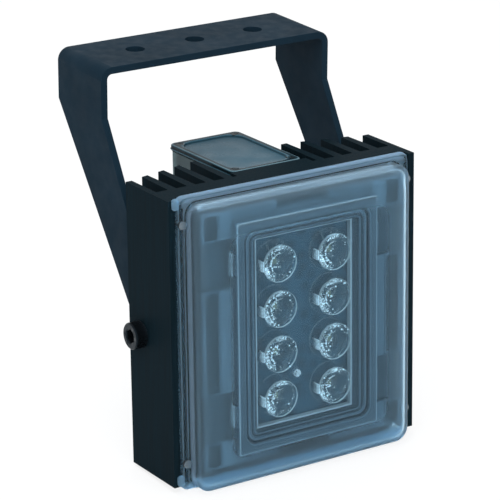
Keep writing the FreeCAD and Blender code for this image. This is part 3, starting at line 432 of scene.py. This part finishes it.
def looks():
    """The settings, which the operators read."""
    return bpy.context.scene.illuminator


def dress(finish, *names):
    """Gives one finish to CAD nodes."""
    for name in names:
        mesh = NODES[name].data
        mesh.materials.clear()
        mesh.materials.append(finish)


class IlluminatorStage(Operator):
    """Floor, background, soft lamps and the camera at the photographed angle"""
    bl_idname = "illuminator.stage"
    bl_label = "Stage"

    def execute(self, context):
        scene = context.scene
        scene.view_settings.view_transform = "Standard"
        self.world(scene)
        self.floor(scene)
        self.lamps(scene)
        self.camera(scene)
        return {"FINISHED"}

    def world(self, scene):
        """White to the camera, to mirrors and through glass; a soft grey light to the rest."""
        world = bpy.data.worlds.new("studio")
        world.use_nodes = True
        tree = world.node_tree
        tree.nodes.clear()
        paths = tree.nodes.new("ShaderNodeLightPath")
        output = tree.nodes.new("ShaderNodeOutputWorld")
        mix = tree.nodes.new("ShaderNodeMixShader")
        soft = tree.nodes.new("ShaderNodeBackground")
        white = tree.nodes.new("ShaderNodeBackground")
        soft.inputs["Color"].default_value = (0.93, 0.97, 1.0, 1.0)
        soft.inputs["Strength"].default_value = 0.55
        white.inputs["Color"].default_value = (1.0, 1.0, 1.0, 1.0)
        seen = paths.outputs["Is Camera Ray"]
        for kind in ("Is Glossy Ray", "Is Transmission Ray"):
            either = tree.nodes.new("ShaderNodeMath")
            either.operation = "MAXIMUM"
            tree.links.new(seen, either.inputs[0])
            tree.links.new(paths.outputs[kind], either.inputs[1])
            seen = either.outputs["Value"]
        tree.links.new(seen, mix.inputs["Fac"])
        tree.links.new(soft.outputs["Background"], mix.inputs[1])
        tree.links.new(white.outputs["Background"], mix.inputs[2])
        tree.links.new(mix.outputs["Shader"], output.inputs["Surface"])
        scene.world = world

    def floor(self, scene):
        """A flat pale floor under the lamp head that fades to the background's white."""
        half = 6.0
        low = CAD_BOX[0][2] - 0.0005
        mesh = bpy.data.meshes.new("floor")
        mesh.from_pydata([(-half, -half, low), (half, -half, low), (half, half, low),
                          (-half, half, low)], [], [(0, 1, 2, 3)])
        floor = bpy.data.objects.new("floor", mesh)
        scene.collection.objects.link(floor)
        made = Tree("pale_floor")
        made.set(Roughness=0.9)
        made.drive("Base Color", made.blend(made.noise(3.0), (0.9, 0.9, 0.9),
                                            (0.94, 0.94, 0.94)))
        paths = made.add("ShaderNodeLightPath")
        glow = made.add("ShaderNodeEmission")
        glow.inputs["Color"].default_value = (1.0, 1.0, 1.0, 1.0)
        share = made.add("ShaderNodeMath", operation="MULTIPLY")
        share.inputs[1].default_value = 0.8
        mix = made.add("ShaderNodeMixShader")
        made.link(paths.outputs["Is Camera Ray"], share.inputs[0])
        made.link(share.outputs["Value"], mix.inputs["Fac"])
        made.link(made.shader.outputs["BSDF"], mix.inputs[1])
        made.link(glow.outputs["Emission"], mix.inputs[2])
        made.link(mix.outputs["Shader"], made.output.inputs["Surface"])
        mesh.materials.append(made.material)

    def lamps(self, scene):
        """Square soft lamps: name, place and target in metres, side and power."""
        for name, place, target, size, power in (
                ("key_softbox", (-0.9, -0.9, 1.3), (0, -0.07, -0.09), 1.7, 27.0),
                ("top_softbox", (0.2, 0.5, 1.5), (0, 0, -0.05), 1.8, 16.0),
                ("front_softbox", (0.5, -1.5, 0.4), (0, -0.07, -0.1), 1.7, 12.0)):
            light = bpy.data.lights.new(name, "AREA")
            light.shape = "SQUARE"
            light.size = size
            light.energy = power
            light.color = (0.94, 0.975, 1.0)
            lamp = bpy.data.objects.new(name, light)
            away = Vector(place) - Vector(target)
            turn = away.to_track_quat("Z", "Y").to_matrix().to_4x4()
            lamp.matrix_world = Matrix.Translation(place) @ turn
            scene.collection.objects.link(lamp)

    def camera(self, scene):
        """The lens and pose fitted to the photograph's own edges."""
        lens = bpy.data.cameras.new("camera")
        lens.lens = looks().camera_lens
        lens.sensor_width = 36.0
        lens.clip_start = 0.05
        lens.clip_end = 50.0
        camera = bpy.data.objects.new("camera", lens)
        right = Vector((0.84170729, -0.53990571, 0.00553763))
        up = Vector((0.18243606, 0.29403890, 0.93822077))
        back = Vector((-0.50817903, -0.78869699, 0.34599295))
        turn = Matrix((right, up, back)).transposed().to_4x4()
        camera.matrix_world = Matrix.Translation((-0.6389627, -1.0403744, 0.3456914)) @ turn
        scene.collection.objects.link(camera)
        scene.camera = camera


class IlluminatorFinishes(Operator):
    """Finishes of the pieces that keep their CAD shape"""
    bl_idname = "illuminator.finishes"
    bl_label = "Finishes"

    def execute(self, context):
        look = looks()
        lamps = range(1, 9)
        dress(coated("bracket_paint", tuple(look.bracket_colour)), "mounting_bracket")
        dress(metal("plain_steel", (0.55, 0.57, 0.6)), "pivot_washer_left", "pivot_washer_right",
              "board_screws", "box_fixing_screws")
        dress(metal("dull_steel", (0.16, 0.19, 0.21), 0.45), "cover_screws")
        dress(metal("dark_steel", (0.05, 0.065, 0.07), 0.35), "box_lid_screws")
        dress(extruded("heat_sink_black", tuple(look.heat_sink_colour)), "heat_sink")
        dress(metal("bare_aluminium", (0.7, 0.72, 0.75), 0.35), "spreader_plate")
        dress(rubber("thermal_grey", (0.25, 0.27, 0.3)), "thermal_pad")
        dress(laminate("board_green", tuple(look.board_colour)), "led_board")
        dress(moulded("emitter_yellow", (0.16, 0.16, 0.1), 0.4),
              *(f"led_emitter_{number}" for number in lamps))
        dress(moulded("tray_grey", tuple(look.tray_colour)), "lamp_tray")
        dress(rubber("seal_rubber", (0.015, 0.017, 0.019)), "cover_gasket", "box_gasket",
              "wire_grommet", "gland_seal")
        dress(smoked("box_smoke", (0.06, 0.105, 0.11)), "box_base")
        dress(laminate("driver_green", (0.02, 0.07, 0.04)), "driver_board")
        dress(moulded("coil_dark", (0.03, 0.03, 0.032)), "driver_coil")
        dress(moulded("terminal_grey", (0.3, 0.32, 0.33)), "terminal_block")
        dress(moulded("gland_black", (0.012, 0.013, 0.014)), "gland_body", "gland_locknut",
              "gland_nut")
        return {"FINISHED"}


# The tray's frame from its outer foot to its window: half width, half height, corner, depth, tone
# Its tone is painted light: high on the frame's edges and window wall as painted highlight, 0 in
# its grooves as painted shade
TRAY_FRAME = ((37.7, 55.0, 0.8, -8.5, 0.5), (37.7, 55.0, 0.8, -10.1, 0.8),
              (37.3, 54.6, 0.8, -10.45, 0.95), (36.6, 53.9, 1.0, -10.45, 0.55),
              (34.4, 51.7, 6.2, -10.45, 0.5), (33.9, 51.2, 5.8, -10.3, 0.85),
              (33.3, 50.6, 5.2, -8.7, 0.0), (32.6, 49.9, 4.8, -8.7, 0.0),
              (32.0, 49.3, 4.5, -9.3, 0.85), (31.0, 48.4, 4.0, -9.4, 0.6),
              (30.2, 47.7, 3.2, -8.7, 0.0), (29.5, 47.1, 2.6, -8.7, 0.3),
              (28.9, 46.7, 2.0, -9.2, 0.8), (28.3, 46.3, 1.6, -9.2, 0.5),
              (28.0, 46.1, 1.4, -8.7, 0.0), (27.5, 45.8, 1.2, -8.6, 0.2),
              (26.4, 45.4, 0.8, -7.0, 0.4), (26.2, 45.3, 0.7, -6.7, 0.95),
              (25.4, 44.65, 0.5, -6.6, 1.0), (25.35, 44.6, 0.5, -4.0, 1.0),
              (27.0, 46.0, 0.5, -4.0, 0.5), (36.9, 54.2, 0.8, -8.5, 0.5),
              (37.7, 55.0, 0.8, -8.5, 0.5))
TRAY_MIDDLE = 67.5
# The pads on each wing between its notches: middle height and half height
WING_PADS = ((121.25, 6.5), (67.5, 24.75), (13.75, 6.5))
# How far the middles of a wing's groove, pad, tongues and notches lie from the lamp's middle
# plane, and its tongues and notches from the tray's middle height
GROOVE_ACROSS, PAD_ACROSS, TONGUE_ACROSS, NOTCH_ACROSS = 48.5, 40.9, 38.9, 45.4
NOTCH_LIFT = 36.0
# A snap tongue and a notch's floor: half width, half height, depth and tone
# Tones: the tongue pale as painted highlight, the sunk notch floor dark as painted shade
TONGUE = ((0.55, 5.3, -6.0, 0.9), (0.55, 5.3, -8.6, 0.9))
NOTCH_FLOOR = ((7.2, 11.1, -3.9, 0.2), (7.2, 11.1, -4.5, 0.2))


class IlluminatorTray(Operator):
    """Nested frame round the lamp board, the pads, tongues and notches of its wings, with
    painted highlights on edges and pads and painted shade in grooves and notches
    """
    bl_idname = "illuminator.tray"
    bl_label = "Tray"

    def execute(self, context):
        finish = painted_light_frame("tray_frame_grey", tuple(looks().tray_colour))
        rows, tone = levelled(TRAY_FRAME, TRAY_MIDDLE)
        rings = outlines(rows, 7)
        piece("tray_frame", [rings], finish,
              tones=[np.repeat(tone, rings.shape[1])], smooth=25.0)
        shells, tones = [], []

        def block(across, middle, run, corner=0.8, steps=3):
            """One closed block of a wing, from a run of half width, half height, depth, tone."""
            rows = [(wide, high, middle, corner, back) for wide, high, back, tone in run]
            shells.append(outlines(rows, steps) + np.array([across, 0, 0]))
            tones.append(np.repeat([row[3] for row in run], shells[-1].shape[1]))

        for side in (-1, 1):
            for middle, half in WING_PADS:
                block(side * GROOVE_ACROSS, middle, self.groove(half), steps=4)
                block(side * PAD_ACROSS, middle, self.pad(half), steps=4)
            for middle in (TRAY_MIDDLE - NOTCH_LIFT, TRAY_MIDDLE + NOTCH_LIFT):
                block(side * TONGUE_ACROSS, middle, TONGUE, corner=0.3)
                block(side * NOTCH_ACROSS, middle, NOTCH_FLOOR)
        piece("tray_pads", shells, finish, tones=tones, smooth=25.0)
        return {"FINISHED"}

    def groove(self, half):
        """A raised edge painted pale as highlight round a sunk band painted dark as shade: half
        width, half height, depth, tone.
        """
        return [(4.2, half - 0.2, -5.0, 0.5), (4.3, half - 0.1, -6.7, 0.6),
                (4.1, half - 0.3, -6.8, 0.65), (3.6, half - 0.8, -6.8, 0.55),
                (3.0, half - 1.4, -6.5, 0.15), (2.8, half - 1.6, -5.6, 0.0)]

    def pad(self, half):
        """A flat pad with a bevelled edge, painted pale as highlight, in the same order."""
        return [(3.0, half - 0.4, -6.0, 0.6), (3.1, half - 0.3, -6.7, 0.8),
                (2.9, half - 0.5, -6.85, 0.8), (2.2, half - 1.2, -6.85, 0.72)]


# The cover's flange from the inner wall to the dome's foot: half width, half height, middle,
# corner, depth, and how milky it is along the sides and along the ends; the milky thin lines
# and the milkier ends are partly painted highlights and reflection
COVER_FLANGE = ((55.4, 65.4, 65.5, 4.2, -4.0, 0.04, 0.04),
                (55.4, 65.4, 65.5, 4.2, 2.0, 0.04, 0.04),
                (62.25, 69.25, 66.95, 4.0, 2.0, 0.02, 0.4),
                (62.25, 69.25, 66.95, 4.0, 0.2, 0.03, 0.5),
                (61.6, 68.6, 66.95, 3.6, -0.6, 0.04, 0.4),
                (61.3, 68.3, 66.95, 3.4, -1.0, 0.3, 0.0),
                (60.9, 68.25, 66.85, 3.7, -1.0, 0.02, 0.0),
                (60.3, 68.15, 66.5, 4.4, -1.0, 0.02, 0.5),
                (59.2, 68.0, 66.0, 5.6, -1.0, 0.02, 0.4),
                (58.8, 67.92, 65.8, 6.0, -1.0, 0.3, 0.15),
                (58.1, 67.88, 65.65, 6.5, -1.0, 0.0, 0.05),
                (57.8, 67.75, 65.53, 6.5, -1.25, 0.0, 0.05),
                (57.7, 67.7, 65.5, 6.5, -1.8, 0.45, 0.12),
                (57.7, 67.7, 65.5, 6.5, -4.9, 0.45, 0.16),
                (57.7, 67.7, 65.5, 6.5, -5.6, 0.12, 0.16))
# The dome: half width, half height, middle, corner, front, and how far its crown leans in and rises
DOME_OUTSIDE = (57.7, 67.7, 65.5, 6.5, -12.96, 18.0, 6.46)
DOME_INSIDE = (55.4, 65.4, 65.5, 4.2, -10.7, 15.7, 4.4)
# Milk of a wall that looks clear
CLEAR = 0.04
# Small ears that hold the flange on the left wall's edge: middle and half height
COVER_EARS = ((133.4, 2.6), (3.0, 2.5))
EAR_ACROSS = 62.6


class IlluminatorCover(Operator):
    """Clear cover: a bevelled flange, a straight side and a crown that leans in to the front"""
    bl_idname = "illuminator.cover"
    bl_label = "Cover"

    def execute(self, context):
        """The crown is a quarter ellipse: inward by wide (1 - cos), forward by deep (1 - sin) less
        than the front. Milkiness at a point goes from its side's to its end's value by the square
        of the turn's sine, and is thicker low on the crown and on the ends, partly as painted
        reflection."""
        turn = np.linspace(0, np.pi / 2, 25)
        lean, drop = 1 - np.cos(turn), 1 - np.sin(turn)

        def crowned(half_x, half_z, middle, corner, front, wide, deep, side, end):
            return np.stack([half_x - wide * lean, half_z - wide * lean, middle + 0 * lean,
                             corner + 0 * lean, front + deep * drop, side, end], axis=1)

        def until(degrees, over):
            """1 low on the crown, then down to 0 at an angle of its turn, over some degrees."""
            return np.clip((np.radians(degrees) - turn) / np.radians(over), 0, 1)

        # Milkier low on the crown and at the ends: partly painted reflection
        side_haze_and_reflection = CLEAR + 0.05 * until(90, 9) + 0.03 * until(50, 12)
        outside = crowned(*DOME_OUTSIDE, side_haze_and_reflection, side_haze_and_reflection + 0.07 * until(42, 12))
        inside = crowned(*DOME_INSIDE, CLEAR + 0 * turn, CLEAR + 0 * turn)
        rows = np.concatenate([inside[::-1], soften(COVER_FLANGE, 0.3), outside])
        rings = outlines(rows[:, :5])
        quarter = np.linspace(0, np.pi / 2, rings.shape[1] // 4)
        share = np.sin(np.add.outer(np.arange(4) * np.pi / 2, quarter)) ** 2
        haze_and_reflection = rows[:, 5:6] + (rows[:, 6:7] - rows[:, 5:6]) * share.ravel()
        ears = [outlines([(1.7, half, middle, 1.2, back) for back in (-0.1, -0.8, -1.0)], 5)
                - np.array([EAR_ACROSS, 0, 0]) for middle, half in COVER_EARS]
        piece("cover_shell", [rings, *ears], self.finish(tuple(looks().cover_tint)),
              ["front_cover"], [haze_and_reflection, *(np.full(ear.shape[:2], 0.2) for ear in ears)])
        return {"FINISHED"}

    def finish(self, colour):
        """Clear and a little milky, more so on the dome's sides, ends and thin rims, where the
        milky colour is partly painted highlight and reflection.
        """
        made = Tree("clear_cover")
        made.set(IOR=1.2)
        sheen(made, 0.8, (0.15, 0.6, 1.0))
        flow = made.noise(55.0, 2.0)
        haze_and_reflection = made.tone()
        # Bluer where milkier: partly painted highlight and reflection
        made.drive("Base Color", made.stops(haze_and_reflection, ((0.05, colour), (0.09, (0.62, 0.86, 1.0)),
                                                   (0.4, (0.55, 0.78, 1.0)))))
        made.drive("Transmission Weight", made.stops(haze_and_reflection, ((0.04, 0.982), (0.09, 0.96),
                                                            (0.5, 0.8))))
        # Milkier places are rougher too
        made.drive("Roughness", made.stops(haze_and_reflection, ((0.05, 0.03), (0.09, 0.3), (0.12, 0.45),
                                                  (0.2, 0.7))))
        made.bump(flow, 0.06, 0.01)
        return made.material


# Middles of the lenses on the board, and the sensor's: distance across and height
LENS_CENTRES = [(side * 14.65, height) for side in (-1, 1)
                for height in (99.75, 78.25, 56.75, 35.25)]
SENSOR_CENTRE = (-2.65, 43.5)
BOARD_FRONT = -3.0
FORWARD = (0, -1, 0)
# Claws stand this far from the lens's axis and are twice this wide
CLAW_INNER = 8.75
CLAW_HALF = 2.3


class IlluminatorLenses(Operator):
    """Eight cup lenses with cut walls, their clear holders and the light sensor"""
    bl_idname = "illuminator.lenses"
    bl_label = "Lenses"

    def execute(self, context):
        glass = crystal("clear_lens", (0.93, 0.97, 0.98))
        plastic = crystal("clear_holder", (0.9, 0.95, 0.97))
        for number, (x, z) in enumerate(LENS_CENTRES, 1):
            chance = np.random.default_rng(number)
            cup, frost_and_glint = self.cup(x, z, chance)
            beads = self.beads(x, z, chance)
            # The beads are white all over: painted glints
            piece(f"lens_cup_{number}", [cup, *beads], glass, [f"lens_{number}"],
                  [frost_and_glint, *(np.ones(bead.shape[:2]) for bead in beads)], smooth=14.0)
            shells, frosts_and_glints = self.holder(x, z, chance)
            piece(f"lens_clip_{number}", shells, plastic,
                  [f"lens_holder_{number}"], frosts_and_glints, smooth=20.0)
        shells, frosts_and_glints = self.sensor(np.random.default_rng(len(LENS_CENTRES) + 1))
        piece("sensor_crystal", shells, plastic, ["light_sensor"], frosts_and_glints,
              smooth=14.0)
        return {"FINISHED"}

    def cup(self, x, z, chance):
        """Wall radius 4.2 + 3.7 t^0.8 up the cup, its facets a ripple of 22 flutes that climbs
        both ways; the front has a ring of pebbles, a well and a crowned middle. The cut facets
        turn frosted white at seeded points, most on the side of the claw and along the top, as
        painted glints; the rim is frosted all round and whiter lower right, and the well on its
        left, as painted highlights."""
        part = np.linspace(0, 1, 13)
        wall = np.stack([4.2 + 3.7 * part ** 0.8, 0.9 + 4.8 * part], axis=1)
        ring = np.stack([np.linspace(8.1, 4.9, 10), np.linspace(7.15, 6.95, 10)], axis=1)
        eye = np.linspace(3.6, 0, 7)
        middle = np.stack([eye, 3.5 + 1.1 * (1 - (eye / 3.6) ** 2)], axis=1)
        profile = np.concatenate([[(0, 2.5), (1.6, 2.4), (2.2, 0.9), (3.9, 0.9)], wall,
                                  [(8.5, 5.75), (8.6, 5.9), (8.6, 7.05), (8.45, 7.2)], ring,
                                  [(4.6, 6.7), (3.9, 3.7)], middle])
        # Rows of the profile: foot 0 to 3, wall 4 to 16, rim 17 to 20, front 21 to 30, well 31 and
        # 32, crowned middle 33 to 39
        columns = 88
        turn = np.linspace(0, 2 * np.pi, columns, endpoint=False)
        row = np.arange(len(profile))[:, None]
        cut = np.abs(np.sin(11 * turn + 0.8 * row)) + np.abs(np.sin(11 * turn - 0.8 * row)) - 1.27
        swell = np.zeros((len(profile), columns))
        swell[5:16] = 0.022 * cut[5:16]
        swell[17:21] = 0.006 * np.cos(13 * turn)
        lift = np.zeros_like(swell)
        lift[21:31] = 0.05 * np.cos(13 * turn) * np.cos(np.pi * row[21:31])
        # Painted glints: white spots thicker towards the claw and along the top, and painted
        # highlights on the rim's lower right and the well's left
        clawed = 0.15 + 0.85 * np.clip(np.cos(turn - np.radians(195)), 0, 1)
        upper = np.clip(np.cos(turn - np.radians(95)), 0, 1) ** 2
        spark = chance.random(swell.shape)
        frost_and_glint = np.zeros_like(swell)
        frost_and_glint[4:17] = (spark[4:17] > 0.985) * clawed
        frost_and_glint[18:21] = 0.35 + 0.35 * np.clip(np.cos(turn + np.radians(50)), 0, 1)
        frost_and_glint[21:25] = (spark[21:25] > 0.88) * np.maximum(clawed, upper)
        frost_and_glint[25:31] = (spark[25:31] > 0.97) * np.maximum(clawed, 0.6)
        frost_and_glint[30:33] = (spark[30:33] > 0.45) * np.clip(2 * np.cos(turn - np.radians(160)), 0, 1)
        frost_and_glint[33:] = (spark[33:] > 0.95) * 0.7
        return turned(profile, (x, BOARD_FRONT, z), FORWARD, columns, swell, lift), frost_and_glint

    def beads(self, x, z, chance):
        """Small cut crystals on the front, white all over as painted glints, at seeded spots
        thicker towards the claw, along the top of the rim, round the near side of the well and on
        its crowned floor."""
        # Five groups, in the docstring's order but for the fourth, which is spread over the front
        angle = np.radians(np.concatenate([chance.normal(200, 48, 26), chance.normal(95, 34, 15),
                                           chance.normal(165, 34, 18), chance.uniform(0, 360, 16),
                                           chance.normal(185, 70, 12)]))
        reach = np.concatenate([chance.uniform(5.8, 8.4, 26), chance.uniform(7.2, 8.3, 15),
                                chance.uniform(4.7, 5.6, 18), chance.uniform(4.8, 8.2, 16),
                                chance.uniform(0.4, 3.3, 12)])
        size = 0.14 + 0.36 * chance.random(len(angle)) ** 2.5
        floor = np.where(reach < 3.6, 3.45 + 1.1 * (1 - (reach / 3.6) ** 2), 6.95)
        profile = np.array([(0, 0), (1.0, 0), (0.85, 0.5), (0, 0.8)])
        spots = np.stack([x + reach * np.cos(angle), BOARD_FRONT - floor,
                          z + reach * np.sin(angle)], axis=1)
        return [turned(profile * big, spot, FORWARD, 6) for spot, big in zip(spots, size)]

    def claw(self, x, z, angle, steps):
        """A stepped upright carried 4.6 mm round the lens, with a shallow ripple."""
        radial = np.array([np.cos(angle), 0, np.sin(angle)])
        round_it = np.array([-np.sin(angle), 0, np.cos(angle)])
        out, rise = np.asarray(steps, float).T
        along = np.linspace(-CLAW_HALF, CLAW_HALF, 9)[:, None]
        grow = 1 + 0.02 * np.cos(along * 4.1)
        reach = CLAW_INNER + (out - CLAW_INNER) * grow
        return (np.array([x, BOARD_FRONT, z]) + reach[..., None] * radial
                + along[..., None] * round_it + (rise * grow)[..., None] * np.array(FORWARD))

    def holder(self, x, z, chance):
        """A flat clear ring with one tall stepped claw and two low ones; the tall claw's steps and
        the ring's outer edge are frosted white as painted highlights, the low claws faintly.
        """
        ring = turned([(2.8, 0.0), (9.55, 0.0), (9.8, 0.0), (9.8, 0.9), (9.55, 0.9), (2.8, 0.9),
                       (2.8, 0.0)], (x, BOARD_FRONT, z), FORWARD, 48)
        rim = np.repeat([0.0, 0.0, 0.25, 0.25, 0.0, 0.0, 0.0], 48)
        tall = [(8.68, 0.9), (8.68, 6.9), (9.05, 6.95), (9.2, 6.4), (9.45, 6.4), (9.55, 5.0),
                (9.8, 4.8), (9.8, 0.9)]
        low = [(8.72, 0.9), (8.72, 2.4), (9.3, 2.4), (9.8, 0.9)]
        claws = [self.claw(x, z, np.pi, tall)]
        claws += [self.claw(x, z, angle, low) for angle in (np.pi / 3, -np.pi / 3)]
        # Painted highlights: white streaks down the tall claw's steps and a pale outer edge on the
        # ring
        streaks = np.array([0.0, 1.0, 1.0, 0.5, 1.0, 0.5, 0.2, 0.0])
        frosts_and_glints = [rim, streaks * (0.6 + 0.4 * chance.random(claws[0].shape[:2]))]
        frosts_and_glints += [0.1 * chance.random(short.shape[:2]) for short in claws[1:]]
        return [ring, *claws], frosts_and_glints

    def sensor(self, chance):
        """A square foot with a cut bead on it, frosted at seeded points as painted glints."""
        spot = (SENSOR_CENTRE[0], BOARD_FRONT, SENSOR_CENTRE[1])
        base = turned([(0, 0), (2.9, 0), (2.9, 1.2), (2.6, 1.4), (0, 1.4)], spot, FORWARD, 4)
        turn = np.linspace(0, 2 * np.pi, 14, endpoint=False)
        profile = [(0, 1.4), (1.7, 1.4), (1.8, 1.8), (1.5, 2.4), (0.9, 2.9), (0, 3.0)]
        swell = 0.07 * np.cos(7 * turn) * np.cos(np.pi * np.arange(len(profile)))[:, None]
        bead = turned(profile, spot, FORWARD, len(turn), swell)
        return [base, bead], [0.3 * chance.random(base.shape[:2]),
                              0.2 + 0.8 * chance.random(bead.shape[:2])]


# The lid from its underside to its sunk field: half width, half depth, corner, height, tone
# The high tones on the rounded edges are painted highlights
LID = ((16.0, 24.9, 2.0, 132.5, 0.2), (18.9, 27.7, 2.8, 132.5, 0.3),
       (19.17, 28.0, 3.0, 132.75, 0.7), (19.17, 28.0, 3.0, 133.1, 0.6),
       (18.85, 27.7, 2.8, 133.25, 0.0), (18.85, 27.7, 2.8, 134.2, 0.0),
       (18.85, 27.7, 2.8, 134.6, 0.15), (18.5, 27.35, 2.6, 134.95, 1.0),
       (18.2, 27.05, 2.5, 135.0, 0.7), (17.9, 26.75, 2.4, 135.0, 0.05),
       (16.8, 25.6, 6.0, 135.0, 0.1), (16.3, 25.1, 7.6, 135.0, 0.6),
       (16.1, 24.9, 8.0, 134.9, 0.6), (15.8, 24.6, 7.8, 134.2, 0.1),
       (15.2, 24.0, 7.4, 134.1, 0.42), (8.0, 16.0, 4.0, 134.1, 0.5))
LID_MIDDLE = 49.7


class IlluminatorLid(Operator):
    """Smoked box lid: a bevelled edge with painted highlights on its rounds, a dark border and a
    sunk field
    """
    bl_idname = "illuminator.lid"
    bl_label = "Box lid"

    def execute(self, context):
        rows, tone = levelled(LID, LID_MIDDLE)
        rings = outlines(rows, 8)[..., [0, 2, 1]]
        piece("lid_shell", [rings], self.finish(), ["box_lid"],
              [np.repeat(tone, rings.shape[1])], smooth=25.0)
        return {"FINISHED"}

    def finish(self):
        """Near black to pale blue by the tone, pale on the edges as painted highlights, with a
        satin skin.
        """
        made = Tree("box_smoke_lid")
        made.set(IOR=1.12)
        sheen(made, 0.6, COOL)
        made.drive("Base Color", made.stops(made.tone(), ((0.0, (0.006, 0.012, 0.015)),
                                                          (0.5, (0.03, 0.085, 0.12)),
                                                          (1.0, (0.14, 0.2, 0.22)))))
        made.drive("Roughness", made.ramp(made.noise(90.0), 0.22, 0.36))
        made.bump(made.noise(1400.0, 2.0), 0.2, 0.008)
        return made.material


class IlluminatorScrews(Operator):
    """Pivot screws with knurled heads and hexagon sockets"""
    bl_idname = "illuminator.screws"
    bl_label = "Screws"

    def execute(self, context):
        finish = coated("black_screw_oxide", (0.003, 0.004, 0.005), roughness=0.3, depth=0.008,
                        spread=0.2, level=0.3)
        for name, side in (("left", -1), ("right", 1)):
            piece(f"pivot_cap_{name}", [self.socket_screw(side)], finish,
                  [f"pivot_screw_{name}"], smooth=30.0, body="bracket")
        return {"FINISHED"}

    def socket_screw(self, side):
        """Shank and head turned about the pivot; the head's wall swells by the cosine of 36
        turns, and the socket's radius is its half width over the cosine of the nearest sixth."""
        profile = np.array([(0, 57.45), (3.6, 57.45), (4.0, 57.85), (4.0, 65.85), (6.1, 65.85),
                            (6.28, 66.0), (6.28, 66.3), (6.28, 70.3), (6.28, 70.6), (6.2, 71.2),
                            (5.75, 71.65), (3.8, 71.65), (3.0, 71.2), (3.0, 68.3), (0, 67.4)])
        # Rows 6 and 7 of the profile are the knurled wall, 12 and 13 the socket's
        columns = 144
        turn = np.linspace(0, 2 * np.pi, columns, endpoint=False)
        swell = np.zeros((len(profile), columns))
        swell[6:8] = 0.016 * (np.cos(36 * turn) - 1)
        sixth = (turn + np.pi / 6) % (np.pi / 3) - np.pi / 6
        swell[12:14] = 1 / np.cos(sixth) - 1
        return turned(profile, (0.0, *PIVOT_IN_HEAD[1:]), (side, 0, 0), columns, swell)


# CAD pieces with broken edges: the setting of their width, and their number of facets
SOFT_EDGES = (("mounting_bracket", "bracket_edge", 3), ("heat_sink", "fine_edge", 2),
              ("lamp_tray", "fine_edge", 2), ("box_base", "box_edge", 3),
              ("gland_body", "fine_edge", 2), ("gland_nut", "fine_edge", 2))


class IlluminatorEdges(Operator):
    """Broken edges on the CAD pieces whose shape is kept"""
    bl_idname = "illuminator.edges"
    bl_label = "Edges"

    def execute(self, context):
        for name, setting, segments in SOFT_EDGES:
            node = NODES[name]
            weld = node.modifiers.new("Joined", "WELD")
            weld.merge_threshold = 1e-6
            flat = node.modifiers.new("Flat faces", "DECIMATE")
            flat.decimate_type = "DISSOLVE"
            flat.angle_limit = np.radians(0.6)
            bevel = node.modifiers.new("Broken edges", "BEVEL")
            bevel.width = getattr(looks(), setting)
            bevel.segments = segments
            bevel.limit_method = "ANGLE"
            bevel.angle_limit = np.radians(35)
        return {"FINISHED"}


class IlluminatorPanel(Panel):
    """Lists the settings and the makers of the illuminator"""
    bl_idname = "VIEW3D_PT_illuminator"
    bl_label = "Illuminator"
    bl_space_type = "VIEW_3D"
    bl_region_type = "UI"
    bl_category = "Illuminator"

    def draw(self, context):
        for name in IlluminatorSettings.__annotations__:
            self.layout.prop(context.scene.illuminator, name)
        for maker in MAKERS:
            self.layout.operator(maker.bl_idname)


MAKERS = (IlluminatorStage, IlluminatorFinishes, IlluminatorTray, IlluminatorCover,
          IlluminatorLenses, IlluminatorLid, IlluminatorScrews, IlluminatorEdges)
CLASSES = (IlluminatorSettings, *MAKERS, IlluminatorPanel)


def register():
    for made in CLASSES:
        bpy.utils.register_class(made)
    bpy.types.Scene.illuminator = PointerProperty(type=IlluminatorSettings)


def unregister():
    del bpy.types.Scene.illuminator
    for made in reversed(CLASSES):
        bpy.utils.unregister_class(made)


def main():
    register()
    bpy.ops.illuminator.stage()
    bpy.ops.illuminator.finishes()
    bpy.ops.illuminator.tray()
    bpy.ops.illuminator.cover()
    bpy.ops.illuminator.lenses()
    bpy.ops.illuminator.lid()
    bpy.ops.illuminator.screws()
    bpy.ops.illuminator.edges()


if __name__ == "__main__":
    main()
